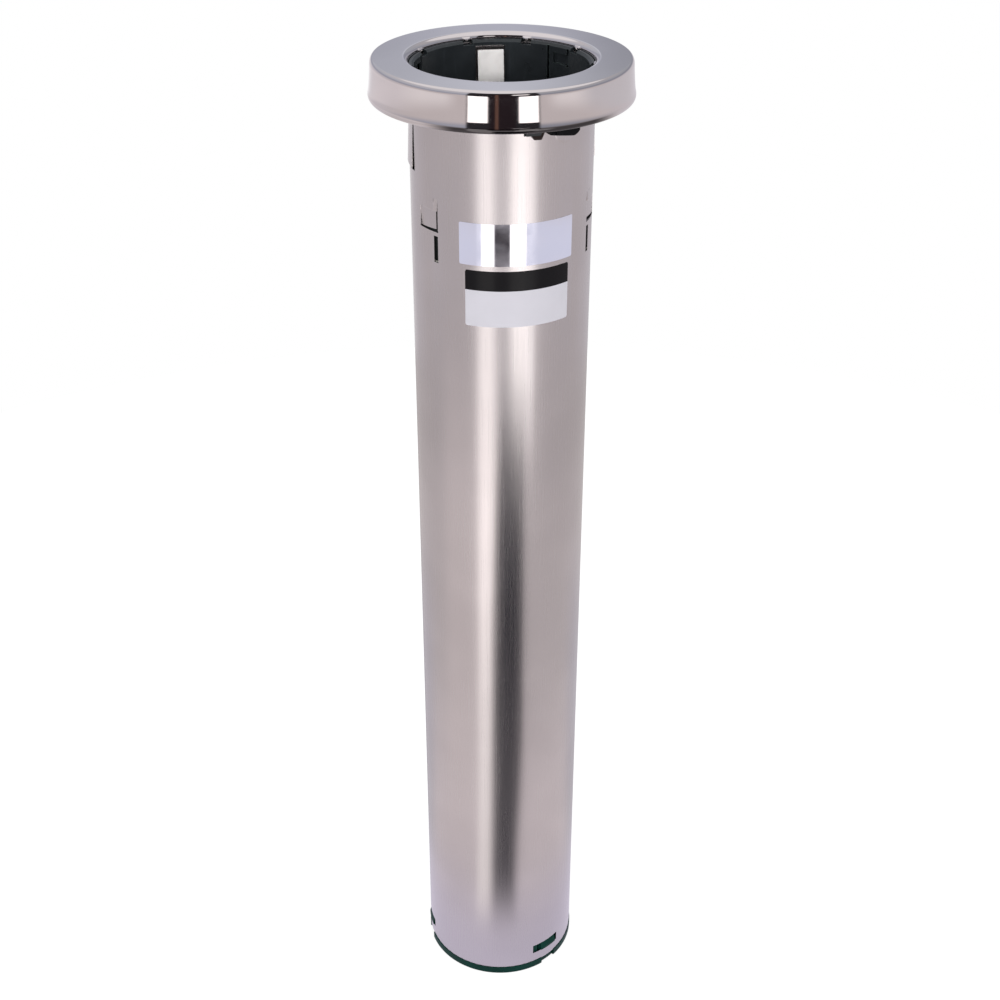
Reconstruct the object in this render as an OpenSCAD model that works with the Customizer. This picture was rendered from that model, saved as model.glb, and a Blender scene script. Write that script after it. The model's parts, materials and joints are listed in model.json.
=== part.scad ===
// In-counter cup dispenser: a steel tube with a polished trim ring, a moulded collar
// with three sprung cup fingers, and a spring-lifted pusher that raises the stack.
// Millimetres, +Z up, the front towards -Y, origin at the centre of the foot rim.
// Angles are counted round the axis from the front, and grow towards +X.

/* [Overall] */
// Height from the foot rim to the face of the trim ring
overall_h = 596; // [540:1:680]
// Running gap between faces of pieces that are fitted together
fit_gap = 0.3; // [0.2:0.05:0.4]

/* [Tube] */
// Outer diameter of the tube
tube_od = 95; // [90:0.5:112]
// Wall of the tube
tube_wall = 0.8; // [0.6:0.05:1]
// Height of a barb slot near the foot
foot_slot_h = 6.6; // [5:0.1:8]
// Width of a barb slot round the tube, in degrees
foot_slot_arc = 25; // [21:0.5:30]
// Steel left below a barb slot
foot_slot_land = 7.4; // [6:0.1:10]
// Width of the two upright slots beside the front
lance_slot_w = 3; // [2:0.1:4]
// Height of the lower upright slot
lance_slot_h = 14.2; // [10:0.1:18]
// Height of the flap that is pressed in above it
lance_flap_h = 10.2; // [8:0.1:12]
// Arc of the flap, in degrees
lance_flap_arc = 14; // [11:0.5:17]
// Inward swing of the pressed flap, in degrees
lance_flap_swing = 8; // [6.5:0.5:9]
// Length of the side leaf that grips the counter
leaf_len = 24; // [20:0.5:28]
// Arc of the side leaf, in degrees
leaf_arc = 16; // [13:0.5:18]
// Outward lean of the side leaf, in degrees
leaf_lean = 2.4; // [1.5:0.1:3]
// Height of the narrow tab over each upright slot
lance_tab_h = 6.4; // [5.3:0.1:7.6]
// Outward lean of that tab, in degrees
lance_tab_lean = 5; // [3:0.5:6]

/* [Trim ring] */
// How far the trim ring reaches out past the tube
trim_overhang = 18.3; // [15:0.1:22]
// Sheet of the trim ring
trim_sheet = 1; // [0.8:0.05:1.2]
// Rounding where the face rolls down into the mouth
lip_round = 3; // [2.5:0.1:3.6]
// Depth of the rolled lip
lip_h = 5.2; // [4.4:0.1:6.2]
// Rounding of the outer edge
trim_edge_round = 1.5; // [1.25:0.05:1.8]
// Depth of the skirt, to the flat of its hem
skirt_h = 20; // [18.5:0.1:24]
// Height over which the hem flares out
hem_h = 4.4; // [3.7:0.1:5.2]
// How far the hem stands out past the skirt
hem_out = 0.95; // [0.8:0.05:1.15]
// Number of lugs that key the lip into the collar
stake_count = 9; // [6:1:12]
// Width of such a lug
stake_w = 5; // [4.1:0.1:5.9]
// Height of such a lug
stake_h = 2.8; // [2.3:0.1:3.3]

/* [Collar] */
// Radial depth of the collar in the tube
collar_depth = 2.4; // [2:0.1:2.8]
// Wall of the collar
collar_wall = 1.2; // [1:0.05:1.4]
// Width of a finger window
window_w = 15.6; // [15.2:0.1:18.5]
// Height of the band under the windows
collar_foot_h = 5; // [4:0.1:6]
// Height of the band over the windows
collar_brow_h = 2.8; // [2.3:0.1:3.4]
// Width of a snap tongue
tongue_w = 13.2; // [10.9:0.1:15.7]
// Depth of the slit on the long side of a tongue
tongue_slit_h = 26; // [22:0.1:31]
// Width of the slits round a tongue
tongue_slit_w = 1.5; // [1.2:0.1:1.8]
// Width of a collar hook
hook_w = 7.2; // [6:0.1:8.5]
// Height of a collar hook
hook_h = 5.6; // [4.7:0.1:6.6]
// How far a collar hook reaches out past the tube
hook_reach = 4.5; // [3.7:0.1:5.3]

/* [Flange core] */
// Wall of the moulded core under the trim ring
core_wall = 2; // [1.7:0.1:2.4]
// Thickness of its deck
core_deck_t = 2.4; // [2:0.1:2.8]
// Depth of its sleeve round the tube
core_sleeve_h = 18; // [16:0.1:20]
// Number of stiffening ribs
core_rib_count = 12; // [8:1:16]
// Width of a latch foot at its root
foot_w = 17; // [14:0.1:19]
// Depth of a latch foot below the sleeve
foot_h = 6.2; // [5.2:0.1:7.4]
// Radial thickness of a latch foot
foot_t = 3.6; // [3:0.1:4.2]

/* [Cup fingers] */
// Gap beside a finger's head in its window
finger_side_gap = 1; // [0.8:0.05:1.3]
// Thickness of a carrier's cheeks beside the finger's stem
cheek_t = 2.8; // [2.3:0.1:3.3]
// Sheet of a finger
finger_t = 0.8; // [0.7:0.05:0.95]
// How far the nose reaches in past the collar's bore
nose_reach = 4.3; // [3.6:0.1:5]
// Height of the ramp from the nose up to the tip
ramp_h = 14.6; // [12:0.1:17]
// Height of the hook side from the nose down to the stem
hook_side_h = 11; // [9.2:0.1:13]
// Height of the straight stem above its pin
stem_h = 17; // [15:0.1:20]
// Gap between the window's top and the finger's tip
tip_gap = 1.9; // [1.6:0.1:2.3]
// Radius of the pivot pin
pin_r = 1; // [0.85:0.05:1.1]
// Travel of a finger carrier down its window
adjust_travel = 6; // [5:0.5:7]
// Height of a finger carrier
carrier_h = 14; // [12:0.1:16.6]
// Wire of the finger springs
finger_wire = 0.5; // [0.42:0.01:0.55]
// Turns of a finger spring
finger_turns = 3; // [2:1:3]

/* [Pusher] */
// Thickness of the pusher plate
plate_t = 2.5; // [2.1:0.1:3]
// Rise of the plate's domed middle
dome_rise = 8; // [6.7:0.1:8.6]
// Wall of the pusher's column and skirt
pusher_wall = 1.6; // [1.3:0.1:1.9]
// Height of the pusher's skirt
pusher_skirt_h = 34.7; // [29:0.1:41]
// Height of the glide band round the skirt
glide_h = 10; // [8.4:0.1:12]
// Radius of the screw circle
screw_circle_r = 22; // [19:0.1:25]
// Radius of the screw shank
screw_r = 1.5; // [1.25:0.05:1.8]

/* [Lift spring] */
// Wire of the lift spring
spring_wire = 2.2; // [1.8:0.1:2.6]
// Number of turns
spring_turns = 24; // [20:1:28]

/* [Foot cap] */
// Height of the rim that shows below the tube
cap_rim_h = 5.4; // [4.5:0.1:6.4]
// Height of the plug inside the tube
cap_plug_h = 20; // [18.5:0.1:24]
// Wall of the plug
cap_wall = 1.8; // [1.5:0.1:2.1]
// Thickness of the cap's floor
cap_floor_t = 2.5; // [2.1:0.1:3]
// Height of the hub inside the spring
cap_hub_h = 15; // [12.5:0.1:18]
// Radius of the drain hole
drain_r = 8; // [6.7:0.1:9.5]
// How far a barb stands out past the tube
barb_out = 0.6; // [0.5:0.05:0.7]

/* [Hidden] */
$fn = 96;

steel = [0.73, 0.70, 0.71];
polished = [0.80, 0.79, 0.81];
spring_steel = [0.62, 0.62, 0.64];
dark_green = [0.10, 0.14, 0.14];
cap_green = [0.02, 0.23, 0.19];
black = [0.07, 0.07, 0.08];
charcoal = [0.11, 0.11, 0.12];
pale = [0.80, 0.80, 0.78];

// Overrun of every cut past the face that it leaves
cut = 1;
// Lap that fuses a piece to the wall that carries it
lap = 0.4;
// Step between two faces of one moulding or sheet that would else be flush
step = 0.1;

// Places round the axis, in degrees
finger_turn = -64;
hook_turn = 6;
latch_turn = 28;
stake_turn = 31.5;
lance_turn = 56.5;
side_turn = 90;
third = 120;

// Arc in degrees that a width takes at a radius
function arc_of(w, r) = w / r * 180 / PI;

// Widths, from a finger window inwards
cheek_gap = 0.25;
finger_w = window_w - 2 * finger_side_gap;
block_w = window_w - 2 * cheek_gap;
stem_w = block_w - 2 * cheek_t - 2 * cheek_gap;

// Radii, from the tube inwards
tube_or = tube_od / 2;
tube_ir = tube_or - tube_wall;
collar_or = tube_ir - fit_gap;
bore_r = collar_or - collar_depth;
collar_wall_or = bore_r + collar_wall;
nose_r = bore_r - nose_reach;
pin_clear = 0.05;
knuckle_r = pin_r + pin_clear + finger_t;
pin_place_r = sqrt(pow(tube_ir - fit_gap, 2) - pow(stem_w / 2, 2)) - knuckle_r;
stem_r = pin_place_r - pin_r - pin_clear - finger_t / 2;
shoulder_gap = 0.9;
shoulder_r = pin_place_r - knuckle_r - shoulder_gap;
dome_gap = 1.6;
dome_r = nose_r - dome_gap;
column_step = 4.1;
column_or = shoulder_r - column_step;
column_ir = column_or - pusher_wall;
spring_gap = 2.4;
spring_r = column_ir - spring_gap - spring_wire / 2;
glide_gap = 0.4;
glide_or = tube_ir - glide_gap;
glide_t = 1;
skirt_gap = 0.7;
pusher_skirt_or = tube_ir - skirt_gap;

// Radii, from the tube outwards
trim_or = tube_or + trim_overhang;
lip_r = tube_ir;
core_ir = tube_or + fit_gap;
core_sleeve_or = core_ir + core_wall;
core_rim_or = trim_or - trim_sheet - fit_gap;
hook_or = tube_or + hook_reach;
foot_or = core_ir + foot_t;

// Heights, from the trim ring's face downwards
tube_top = overall_h - lip_h - fit_gap;
tube_foot = cap_rim_h;
collar_top = overall_h - lip_round - fit_gap;
stake_low = overall_h - lip_h;
window_top = collar_top - collar_brow_h;
tip_z = window_top - tip_gap;
nose_z = tip_z - ramp_h;
stem_top = nose_z - hook_side_h;
pin_z = stem_top - stem_h;
carrier_rise = 7;
finger_tail = 5.6;
carrier_top = pin_z + carrier_rise;
carrier_foot = carrier_top - carrier_h;
window_foot = carrier_foot - adjust_travel - fit_gap;
collar_foot = window_foot - collar_foot_h;
flap_top = collar_foot - 2 * fit_gap;
flap_foot = flap_top - lance_flap_h;
lance_bridge_h = 2;
slit_h = 0.9;
slit_relief = 0.3;
core_top = overall_h - trim_sheet - fit_gap;
core_foot = core_top - trim_edge_round - core_sleeve_h;
hook_top = core_foot - fit_gap;
hook_foot = hook_top - hook_h;
skirt_foot = overall_h - skirt_h;
hem_edge = 0.6;
hem_land = 0.2;
hem_toe = 0.6;
hem_toe_h = 1.2;
flare_drop = hem_h - hem_edge - hem_land;
flare_r = (flare_drop * flare_drop + hem_out * hem_out) / (2 * hem_out);
foot_foot = core_foot - foot_h;
leaf_gap = 1.5;
leaf_top = foot_foot - leaf_gap;
leaf_foot = leaf_top - leaf_len;
shoulder_top = stem_top - adjust_travel - 2 * fit_gap;
plate_foot = shoulder_top - plate_t;
pusher_stop = flap_foot - fit_gap;
pusher_foot = pusher_stop - pusher_skirt_h;
web_t = 2.5;
web_foot = plate_foot - web_t;

// Heights, from the foot upwards
floor_rise_share = 1.2;
cap_floor_top = cap_rim_h + floor_rise_share * cap_wall;
seat_t = 1.2;
seat_top = cap_floor_top + seat_t;
plug_top = cap_rim_h + cap_plug_h;
foot_slot_z = tube_foot + foot_slot_land;
stop_gap = 1;
pusher_travel = pusher_foot - plug_top - stop_gap;

// Turns a piece built at the front round to its place
module place(turn) {
    rotate([0, 0, turn]) children();
}

module thirds(turn) {
    for (i = [0:2]) place(turn + third * i) children();
}

// Ring between two radii and two heights
module ring(r_in, r_out, z_low, z_high) {
    rotate_extrude() translate([r_in, z_low]) square([r_out - r_in, z_high - z_low]);
}

// Piece of such a ring, half_arc degrees to each side of the front
module ring_piece(r_in, r_out, z_low, z_high, half_arc) {
    rotate_extrude(angle = 2 * half_arc, start = -90 - half_arc)
        translate([r_in, z_low]) square([r_out - r_in, z_high - z_low]);
}

// Square block at the front, w wide, between two radii and two heights
module front_block(w, r_in, r_out, z_low, z_high) {
    translate([-w / 2, -r_out, z_low]) cube([w, r_out - r_in, z_high - z_low]);
}

// Flat shape in radius and height, made w wide across the front
module front_section(w) {
    rotate([0, 0, -90]) rotate([90, 0, 0]) linear_extrude(height = w, center = true) children();
}

// Swings a piece of the front about an upright line at radius r
module swing(angle, r) {
    translate([0, -r, 0]) rotate([0, 0, angle]) translate([0, r, 0]) children();
}

// Leans a piece of the front about a level line at radius r and height z
module lean(angle, r, z) {
    translate([0, -r, z]) rotate([angle, 0, 0]) translate([0, r, -z]) children();
}

// Outline of a sheet ring's section, with its face at the top and two rounded corners
module sheet_form(r_in, r_out, top, depth, round_in, round_out) {
    low = top - depth;
    translate([r_in + round_in, low]) square([r_out - r_in - round_in - round_out, depth]);
    translate([r_in, low]) square([round_in + lap, depth - round_in]);
    translate([r_out - round_out - lap, low]) square([round_out + lap, depth - round_out]);
    translate([r_in + round_in, top - round_in]) circle(r = round_in);
    translate([r_out - round_out, top - round_out]) circle(r = round_out);
}

// Points along a corner that is rounded from a past b to c
function corner(a, b, c, steps) = [for (i = [0:steps])
    let (s = i / steps) (1 - s) * (1 - s) * a + 2 * s * (1 - s) * b + s * s * c];

function unit(v) = v / norm(v);

// Direction of travel at point i of a path
function heading(path, i) = unit(path[min(i + 1, len(path) - 1)] - path[max(i - 1, 0)]);

// Outline of a strip t thick that follows a flat path
function strip(path, t) = let (
    sides = [for (i = [0:len(path) - 1])
        let (d = heading(path, i)) [-d.y, d.x] * t / 2]) concat(
    [for (i = [0:len(path) - 1]) path[i] + sides[i]],
    [for (i = [len(path) - 1:-1:0]) path[i] - sides[i]]);

// Round wire of radius r along a path that coils about an axis
module wire(path, axis, r) {
    wire_sides = 6;
    rings = len(path);
    points = [for (i = [0:rings - 1])
        let (d = heading(path, i), u = unit(cross(d, axis)), v = cross(d, u))
        for (k = [0:wire_sides - 1])
            path[i] + r * (cos(360 * k / wire_sides) * u + sin(360 * k / wire_sides) * v)];
    walls = [for (i = [0:rings - 2], k = [0:wire_sides - 1])
        let (n = (k + 1) % wire_sides, a = i * wire_sides, b = a + wire_sides)
        each [[a + k, b + n, a + n], [a + k, b + k, b + n]]];
    ends = [[for (k = [0:wire_sides - 1]) k],
        [for (k = [wire_sides - 1:-1:0]) (rings - 1) * wire_sides + k]];
    polyhedron(points = points, faces = concat(walls, ends), convexity = 10);
}

curl_rings = 8;

// Least gap between one turn of a coil and the next
function coil_gap(path, wire_d) = min([for (i = [0:len(path) - 1 - curl_rings])
    norm(path[i + curl_rings] - path[i]) - wire_d]);

// The tube: rolled sheet with its slots, flaps, tabs and side leaves
lance_arc = arc_of(lance_slot_w, tube_or);
tab_top = flap_top + lance_tab_h;
third_lance_turn = 180 - lance_turn;

module lance(side) {
    slot_top = flap_foot - slit_h - lance_bridge_h;
    flap_cut_arc = lance_flap_arc + lance_arc / 2;
    relief_arc = arc_of(slit_relief, tube_or);
    place(side * lance_turn) {
        front_block(lance_slot_w, tube_ir - cut, tube_or + cut, flap_foot - slit_h / 2, tab_top);
        front_block(lance_slot_w, tube_ir - cut, tube_or + cut, slot_top - lance_slot_h, slot_top);
        place(side * flap_cut_arc / 2)
            ring_piece(tube_ir - cut, tube_or + cut, flap_foot - slit_h / 4, flap_top,
                flap_cut_arc / 2);
        place(side * lance_flap_arc / 2)
            ring_piece(tube_ir - cut, tube_or + cut, flap_foot - slit_h, flap_foot,
                (lance_flap_arc + lance_arc) / 2 + relief_arc);
    }
}

// Flap pressed in, joined along its far side, and the tab pressed out above the slot
module lance_steel(side) {
    side_gap = 0.3;
    lap_arc = arc_of(lap, tube_or);
    place(side * lance_turn) {
        place(side * (lance_arc / 2 + lance_flap_arc))
            swing(-side * lance_flap_swing, tube_or - tube_wall / 2)
                place(side * (lap_arc - lance_flap_arc) / 2)
                    ring_piece(tube_ir + step, tube_or - step, flap_foot, flap_top - fit_gap,
                        (lance_flap_arc + lap_arc) / 2);
        leaf(-lance_tab_lean, flap_top + fit_gap, tab_top, arc_of(lance_slot_w - side_gap, tube_or) / 2);
    }
}

// Strip of the sheet that stays joined at its top and leans in, or out where the lean is negative
module leaf(lean_in, z_low, z_high, half_arc) {
    lean(lean_in, tube_or - tube_wall / 2, z_high)
        ring_piece(tube_ir + step, tube_or - step, z_low, z_high + lap, half_arc);
}

module side_leaf_window() {
    slot_arc = 2;
    ring_piece(tube_ir - cut, tube_or + cut, leaf_foot - leaf_gap, leaf_top, leaf_arc / 2 + slot_arc);
}

module tube() {
    window_gap = 0.6;
    color(steel) {
        difference() {
            ring(tube_ir, tube_or, tube_foot, tube_top);
            thirds(latch_turn)
                ring_piece(tube_ir - cut, tube_or + cut, foot_slot_z, foot_slot_z + foot_slot_h,
                    foot_slot_arc / 2);
            thirds(latch_turn)
                front_block(latch_lug_w + 2 * window_gap, tube_ir - cut, tube_or + cut,
                    latch_lug_z - window_gap, latch_lug_z + latch_lug_h + window_gap);
            thirds(hook_turn)
                front_block(hook_w + 2 * window_gap, tube_ir - cut, tube_or + cut,
                    hook_foot - window_gap, hook_top + window_gap);
            for (side = [-1, 1]) {
                lance(side);
                place(side * side_turn) side_leaf_window();
            }
            place(third_lance_turn) lance(1);
        }
        for (side = [-1, 1]) {
            lance_steel(side);
            place(side * side_turn) leaf(-leaf_lean, leaf_foot, leaf_top, leaf_arc / 2);
        }
        place(third_lance_turn) lance_steel(1);
    }
}

// Section of the flared hem: an arc out of the skirt, a rounded edge, and the toe turned in
module hem_form() {
    difference() {
        translate([trim_or - trim_sheet / 2, skirt_foot]) {
            square([trim_sheet / 2 + hem_out - hem_edge, hem_h]);
            translate([0, hem_edge]) square([trim_sheet / 2 + hem_out, hem_h - hem_edge]);
            translate([trim_sheet / 2 + hem_out - hem_edge, hem_edge]) circle(r = hem_edge);
        }
        translate([trim_or + flare_r, skirt_foot + hem_h]) circle(r = flare_r);
    }
    translate([trim_or - trim_sheet - hem_toe, skirt_foot])
        square([trim_sheet / 2 + hem_toe + step, hem_toe_h]);
}

// The trim ring: polished sheet, rolled at the mouth, with a skirt that ends in a hem
module trim_ring() {
    stake_out = 0.9;
    under_face = overall_h - trim_sheet;
    color(polished) {
        rotate_extrude() difference() {
            union() {
                difference() {
                    sheet_form(lip_r, trim_or, overall_h, skirt_h, lip_round, trim_edge_round);
                    translate([0, -cut]) sheet_form(lip_r + trim_sheet, trim_or - trim_sheet,
                        under_face + cut, skirt_h, lip_round - trim_sheet,
                        trim_edge_round - trim_sheet);
                    translate([lip_r - cut, skirt_foot - cut])
                        square([trim_sheet + 2 * cut, skirt_h - lip_h + cut]);
                }
                hem_form();
            }
            translate([trim_or - trim_sheet - 2 * hem_h, skirt_foot - hem_h])
                square([4 * hem_h, hem_h]);
        }
        for (i = [0:stake_count - 1]) place(stake_turn + 360 / stake_count * i)
            front_block(stake_w, lip_r - stake_out, lip_r + trim_sheet / 2, stake_low,
                stake_low + stake_h);
    }
}

latch_lug_w = 12;
latch_lug_h = 3.8;
latch_lug_z = core_foot - latch_lug_h - 2 * fit_gap;

// The flange core: moulded ring that fills the trim ring and latches into the tube
module flange_core() {
    rib_t = 1.6;
    rib_depth_share = 0.45;
    rim_low = skirt_foot + hem_toe_h + fit_gap;
    deck_ir = lip_r + lip_round;
    sleeve_top = collar_top;
    color(black) {
        rotate_extrude() {
            translate([deck_ir, core_top - core_deck_t]) square([core_rim_or - deck_ir, core_deck_t]);
            translate([core_ir, core_foot]) square([core_wall, sleeve_top - core_foot]);
            translate([core_ir, core_top - core_deck_t - core_wall])
                square([2 * core_wall, sleeve_top - core_top + core_deck_t + core_wall]);
            translate([core_rim_or - core_wall, rim_low])
                square([core_wall, core_top - rim_low]);
        }
        for (i = [0:core_rib_count - 1]) place(360 / core_rib_count * (i + 0.5))
            front_block(rib_t, core_sleeve_or, core_rim_or - core_wall / 2,
                core_top - core_sleeve_h * rib_depth_share, core_top - core_deck_t / 2);
        thirds(latch_turn) latch_foot();
    }
}

// Latch foot: a tapered tab below the sleeve, with a lug into the tube's window
module latch_foot() {
    foot_taper_share = 0.16;
    foot_lap = 4 * lap;
    taper = foot_w * foot_taper_share;
    difference() {
        translate([0, 0, core_foot + foot_lap]) rotate([90, 0, 0])
            linear_extrude(height = foot_or + fit_gap) polygon([
                [-foot_w / 2, 0], [foot_w / 2, 0], [foot_w / 2, -foot_lap],
                [foot_w / 2 - taper, -foot_lap - foot_h], [-foot_w / 2, -foot_lap - foot_h]]);
        translate([0, 0, foot_foot - cut])
            cylinder(r = core_ir + step, h = foot_h + foot_lap + 2 * cut);
    }
    front_block(latch_lug_w, tube_ir + tube_wall / 2, core_ir + foot_t / 2, latch_lug_z,
        latch_lug_z + latch_lug_h);
}

// The collar: moulded liner of the mouth, with windows, guide ribs and snap tongues
module collar() {
    brow = 2 * collar_brow_h;
    chamfer = collar_depth / 2;
    color(dark_green) difference() {
        union() {
            rotate_extrude() difference() {
                union() {
                    translate([bore_r, collar_foot])
                        square([collar_wall, collar_top - collar_foot]);
                    translate([bore_r, collar_top - brow]) square([collar_depth, brow]);
                    translate([bore_r, collar_foot]) square([collar_depth, collar_foot_h]);
                }
                polygon([[bore_r - cut, collar_top + cut], [collar_or, collar_top + cut],
                    [bore_r + chamfer, collar_top], [bore_r, collar_top - chamfer],
                    [bore_r - cut, collar_top - chamfer]]);
            }
            thirds(finger_turn) guide_ribs();
            thirds(hook_turn) {
                collar_hook();
                tongue_pad();
            }
        }
        for (i = [0:stake_count - 1]) place(stake_turn + 360 / stake_count * i)
            front_block(stake_w + 2 * fit_gap, bore_r - cut, collar_or + cut,
                stake_low - fit_gap, collar_top + cut);
        thirds(finger_turn)
            front_block(window_w, bore_r - 2 * cut, collar_or + cut, window_foot, window_top);
        thirds(hook_turn) tongue_cuts();
    }
}

wing_w = window_w + 2.2 * collar_wall;
guide_gap = 0.3;
guide_t = 1.6;

// Upright ribs on both sides of a window, with the ledges that stop a carrier
module guide_ribs() {
    ledge_h = 2 * collar_wall;
    for (side = [-1, 1]) {
        translate([side * (wing_w / 2 + guide_gap + guide_t / 2), 0, 0])
            intersection() {
                front_block(guide_t, bore_r - collar_depth, collar_or + cut,
                    collar_foot + collar_foot_h - lap, window_top);
                translate([-side * (wing_w / 2 + guide_gap + guide_t / 2), 0, 0])
                    ring(collar_wall_or - lap, collar_or - step, collar_foot, collar_top);
            }
        intersection() {
            translate([side * (window_w + wing_w + guide_t) / 4, 0, 0])
                front_block((wing_w + guide_t - window_w) / 2 + guide_gap, bore_r - collar_depth,
                    collar_or + cut, carrier_top + fit_gap, carrier_top + fit_gap + ledge_h);
            ring(collar_wall_or - lap, collar_or - step, carrier_top, carrier_top + 2 * ledge_h);
        }
    }
}

// Hook that passes through the tube and catches the core's sleeve from below
module collar_hook() {
    nose_share = 0.45;
    front_section(hook_w) polygon([
        [bore_r + collar_wall / 2, hook_foot], [hook_or - hook_reach * nose_share, hook_foot],
        [hook_or, hook_foot + hook_h * nose_share], [hook_or, hook_top],
        [bore_r + collar_wall / 2, hook_top]]);
}

tongue_brow = 1;
slit_top = collar_top - tongue_brow;
short_slit_share = 0.36;
pocket_top_share = 0.12;
pocket_low_share = 0.33;
pocket_side_share = 0.23;

// Pad that backs the pocket of a snap tongue
module tongue_pad() {
    pad_edge = 1;
    ring_piece(collar_wall_or - lap, collar_or - step, slit_top - tongue_slit_h * pocket_low_share - pad_edge,
        collar_top - collar_brow_h, arc_of(tongue_w, collar_or) / 2);
}

// Slits and the finger pocket of a snap tongue
module tongue_cuts() {
    r_in = bore_r - cut;
    r_out = collar_or + cut;
    translate([tongue_w / 2, 0, 0])
        front_block(tongue_slit_w, r_in, r_out, slit_top - tongue_slit_h, slit_top);
    translate([-tongue_w / 2, 0, 0])
        front_block(tongue_slit_w, r_in, r_out, slit_top - tongue_slit_h * short_slit_share, slit_top);
    translate([-tongue_w * pocket_side_share / 2, 0, 0])
        front_block(tongue_w * (1 - pocket_side_share), r_in, collar_wall_or,
            slit_top - tongue_slit_h * pocket_low_share, slit_top - tongue_slit_h * pocket_top_share);
}

// A finger carrier: slides in its window and holds the pivot pin between two cheeks
grip_share = 0.2;
bar_top = carrier_foot + carrier_h * grip_share;

module carrier() {
    front_gap = 0.4;
    tail_gap = 0.1;
    leg_swing = 0.45;
    slot_w = stem_w + 2 * cheek_gap;
    face_r = pin_place_r - knuckle_r + front_gap;
    wing_ir = collar_wall_or + cheek_gap;
    back_r = collar_or - fit_gap / 2;
    color(black) difference() {
        union() {
            intersection() {
                front_block(block_w, face_r, collar_or, carrier_foot, carrier_top);
                ring(face_r - cut, back_r, carrier_foot - cut, carrier_top + cut);
            }
            intersection() {
                front_block(wing_w, bore_r - collar_depth, collar_or, carrier_foot, carrier_top);
                ring(wing_ir, back_r, carrier_foot - cut, carrier_top + cut);
            }
        }
        front_block(slot_w, face_r - cut, tube_or, bar_top, carrier_top + cut);
        front_block(slot_w, face_r - cut, stem_r + finger_t / 2 + tail_gap, pin_z - finger_tail - fit_gap,
            carrier_top + cut);
        translate([finger_spring_start, 0, 0])
            front_block(3 * finger_wire, leg_r - finger_wire / 2 - leg_swing, tube_or,
                bar_top - leg_drop - finger_wire, carrier_top);
        pin_bore(pin_r + pin_clear / 2);
    }
}

module pin_bore(r) {
    translate([-window_w, -pin_place_r, pin_z]) rotate([0, 90, 0])
        cylinder(r = r, h = 2 * window_w, $fn = 32);
}

// A cup finger: pressed steel with rolled knuckles, a tail, a hook side, a nose and a ramp
module finger() {
    knuckle_share = 0.22;
    knuckle_w = stem_w * knuckle_share;
    hole_share = 1.3;
    hole_h = knuckle_r * hole_share;
    neck_drop_share = 0.25;
    neck_top = nose_z - hook_side_h * neck_drop_share;
    neck_low = neck_top - hook_side_h / 2;
    tail_low = pin_z - finger_tail;
    color(polished) {
        difference() {
            intersection() {
                front_section(finger_w + cut) polygon(strip(finger_path(), finger_t));
                rotate([90, 0, 0]) linear_extrude(height = tube_or)
                    polygon([[-stem_w / 2, tail_low - cut], [stem_w / 2, tail_low - cut],
                        [stem_w / 2, neck_low], [finger_w / 2, neck_top],
                        [finger_w / 2, tip_z + cut], [-finger_w / 2, tip_z + cut],
                        [-finger_w / 2, neck_top], [-stem_w / 2, neck_low]]);
            }
            front_block(stem_w - 2 * knuckle_w, nose_r, tube_or, pin_z - hole_h, pin_z + hole_h);
            pin_bore(pin_r + pin_clear);
        }
        for (side = [-1, 1]) translate([side * (stem_w - knuckle_w) / 2, 0, 0]) difference() {
            translate([-knuckle_w / 2, -pin_place_r, pin_z]) rotate([0, 90, 0])
                cylinder(r = knuckle_r, h = knuckle_w, $fn = 48);
            pin_bore(pin_r + pin_clear);
        }
    }
}

// The finger's middle line, in radius and height, from its tail to its tip
function finger_path() = let (
    nose = [nose_r + finger_t / 2, nose_z],
    tip_share = 0.5,
    tip = [nose_r + finger_t / 2 + nose_reach * tip_share, tip_z],
    knee = [stem_r, stem_top],
    bend = 3.2) concat(
    [[stem_r, pin_z - finger_tail]],
    corner(knee - [0, bend], knee, knee + bend * unit(nose - knee), 5),
    corner(nose + bend * unit(knee - nose), nose, nose + bend * unit(tip - nose), 7),
    [tip]);

module finger_pin() {
    end_gap = 0.6;
    color(spring_steel) translate([-window_w / 2 + end_gap, -pin_place_r, pin_z])
        rotate([0, 90, 0]) cylinder(r = pin_r, h = window_w - 2 * end_gap, $fn = 32);
}

// A finger spring: coiled round the pin, one leg on the finger's back, one in the carrier
coil_clear = 0.3;
finger_spring_r = pin_r + coil_clear + finger_wire / 2;
finger_pitch = finger_wire + 0.45;
finger_spring_start = -finger_turns * finger_pitch / 2;
leg_r = pin_place_r + finger_spring_r;
leg_drop = 1;
leg_rise = 6;

function finger_spring_path() = let (
    rest_gap = 0.05,
    lean_in = pin_place_r - stem_r - finger_t / 2 - finger_wire / 2 - rest_gap,
    foot = bar_top - leg_drop - pin_z,
    coil = [for (i = [0:finger_turns * curl_rings]) let (a = 180 - 360 * i / curl_rings)
        [finger_spring_r * cos(a), finger_spring_r * sin(a),
            finger_spring_start + finger_pitch * i / curl_rings]],
    low = coil[0],
    high = coil[len(coil) - 1]) concat(
    [[low.x, foot, low.z], [low.x, -finger_wire, low.z]], coil,
    [[high.x, finger_wire, high.z], [lean_in, leg_rise, high.z]]);

module finger_spring() {
    color(spring_steel) translate([0, -pin_place_r, pin_z])
        rotate([90, 0, 90]) wire(finger_spring_path(), [0, 0, 1], finger_wire / 2);
}

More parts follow.
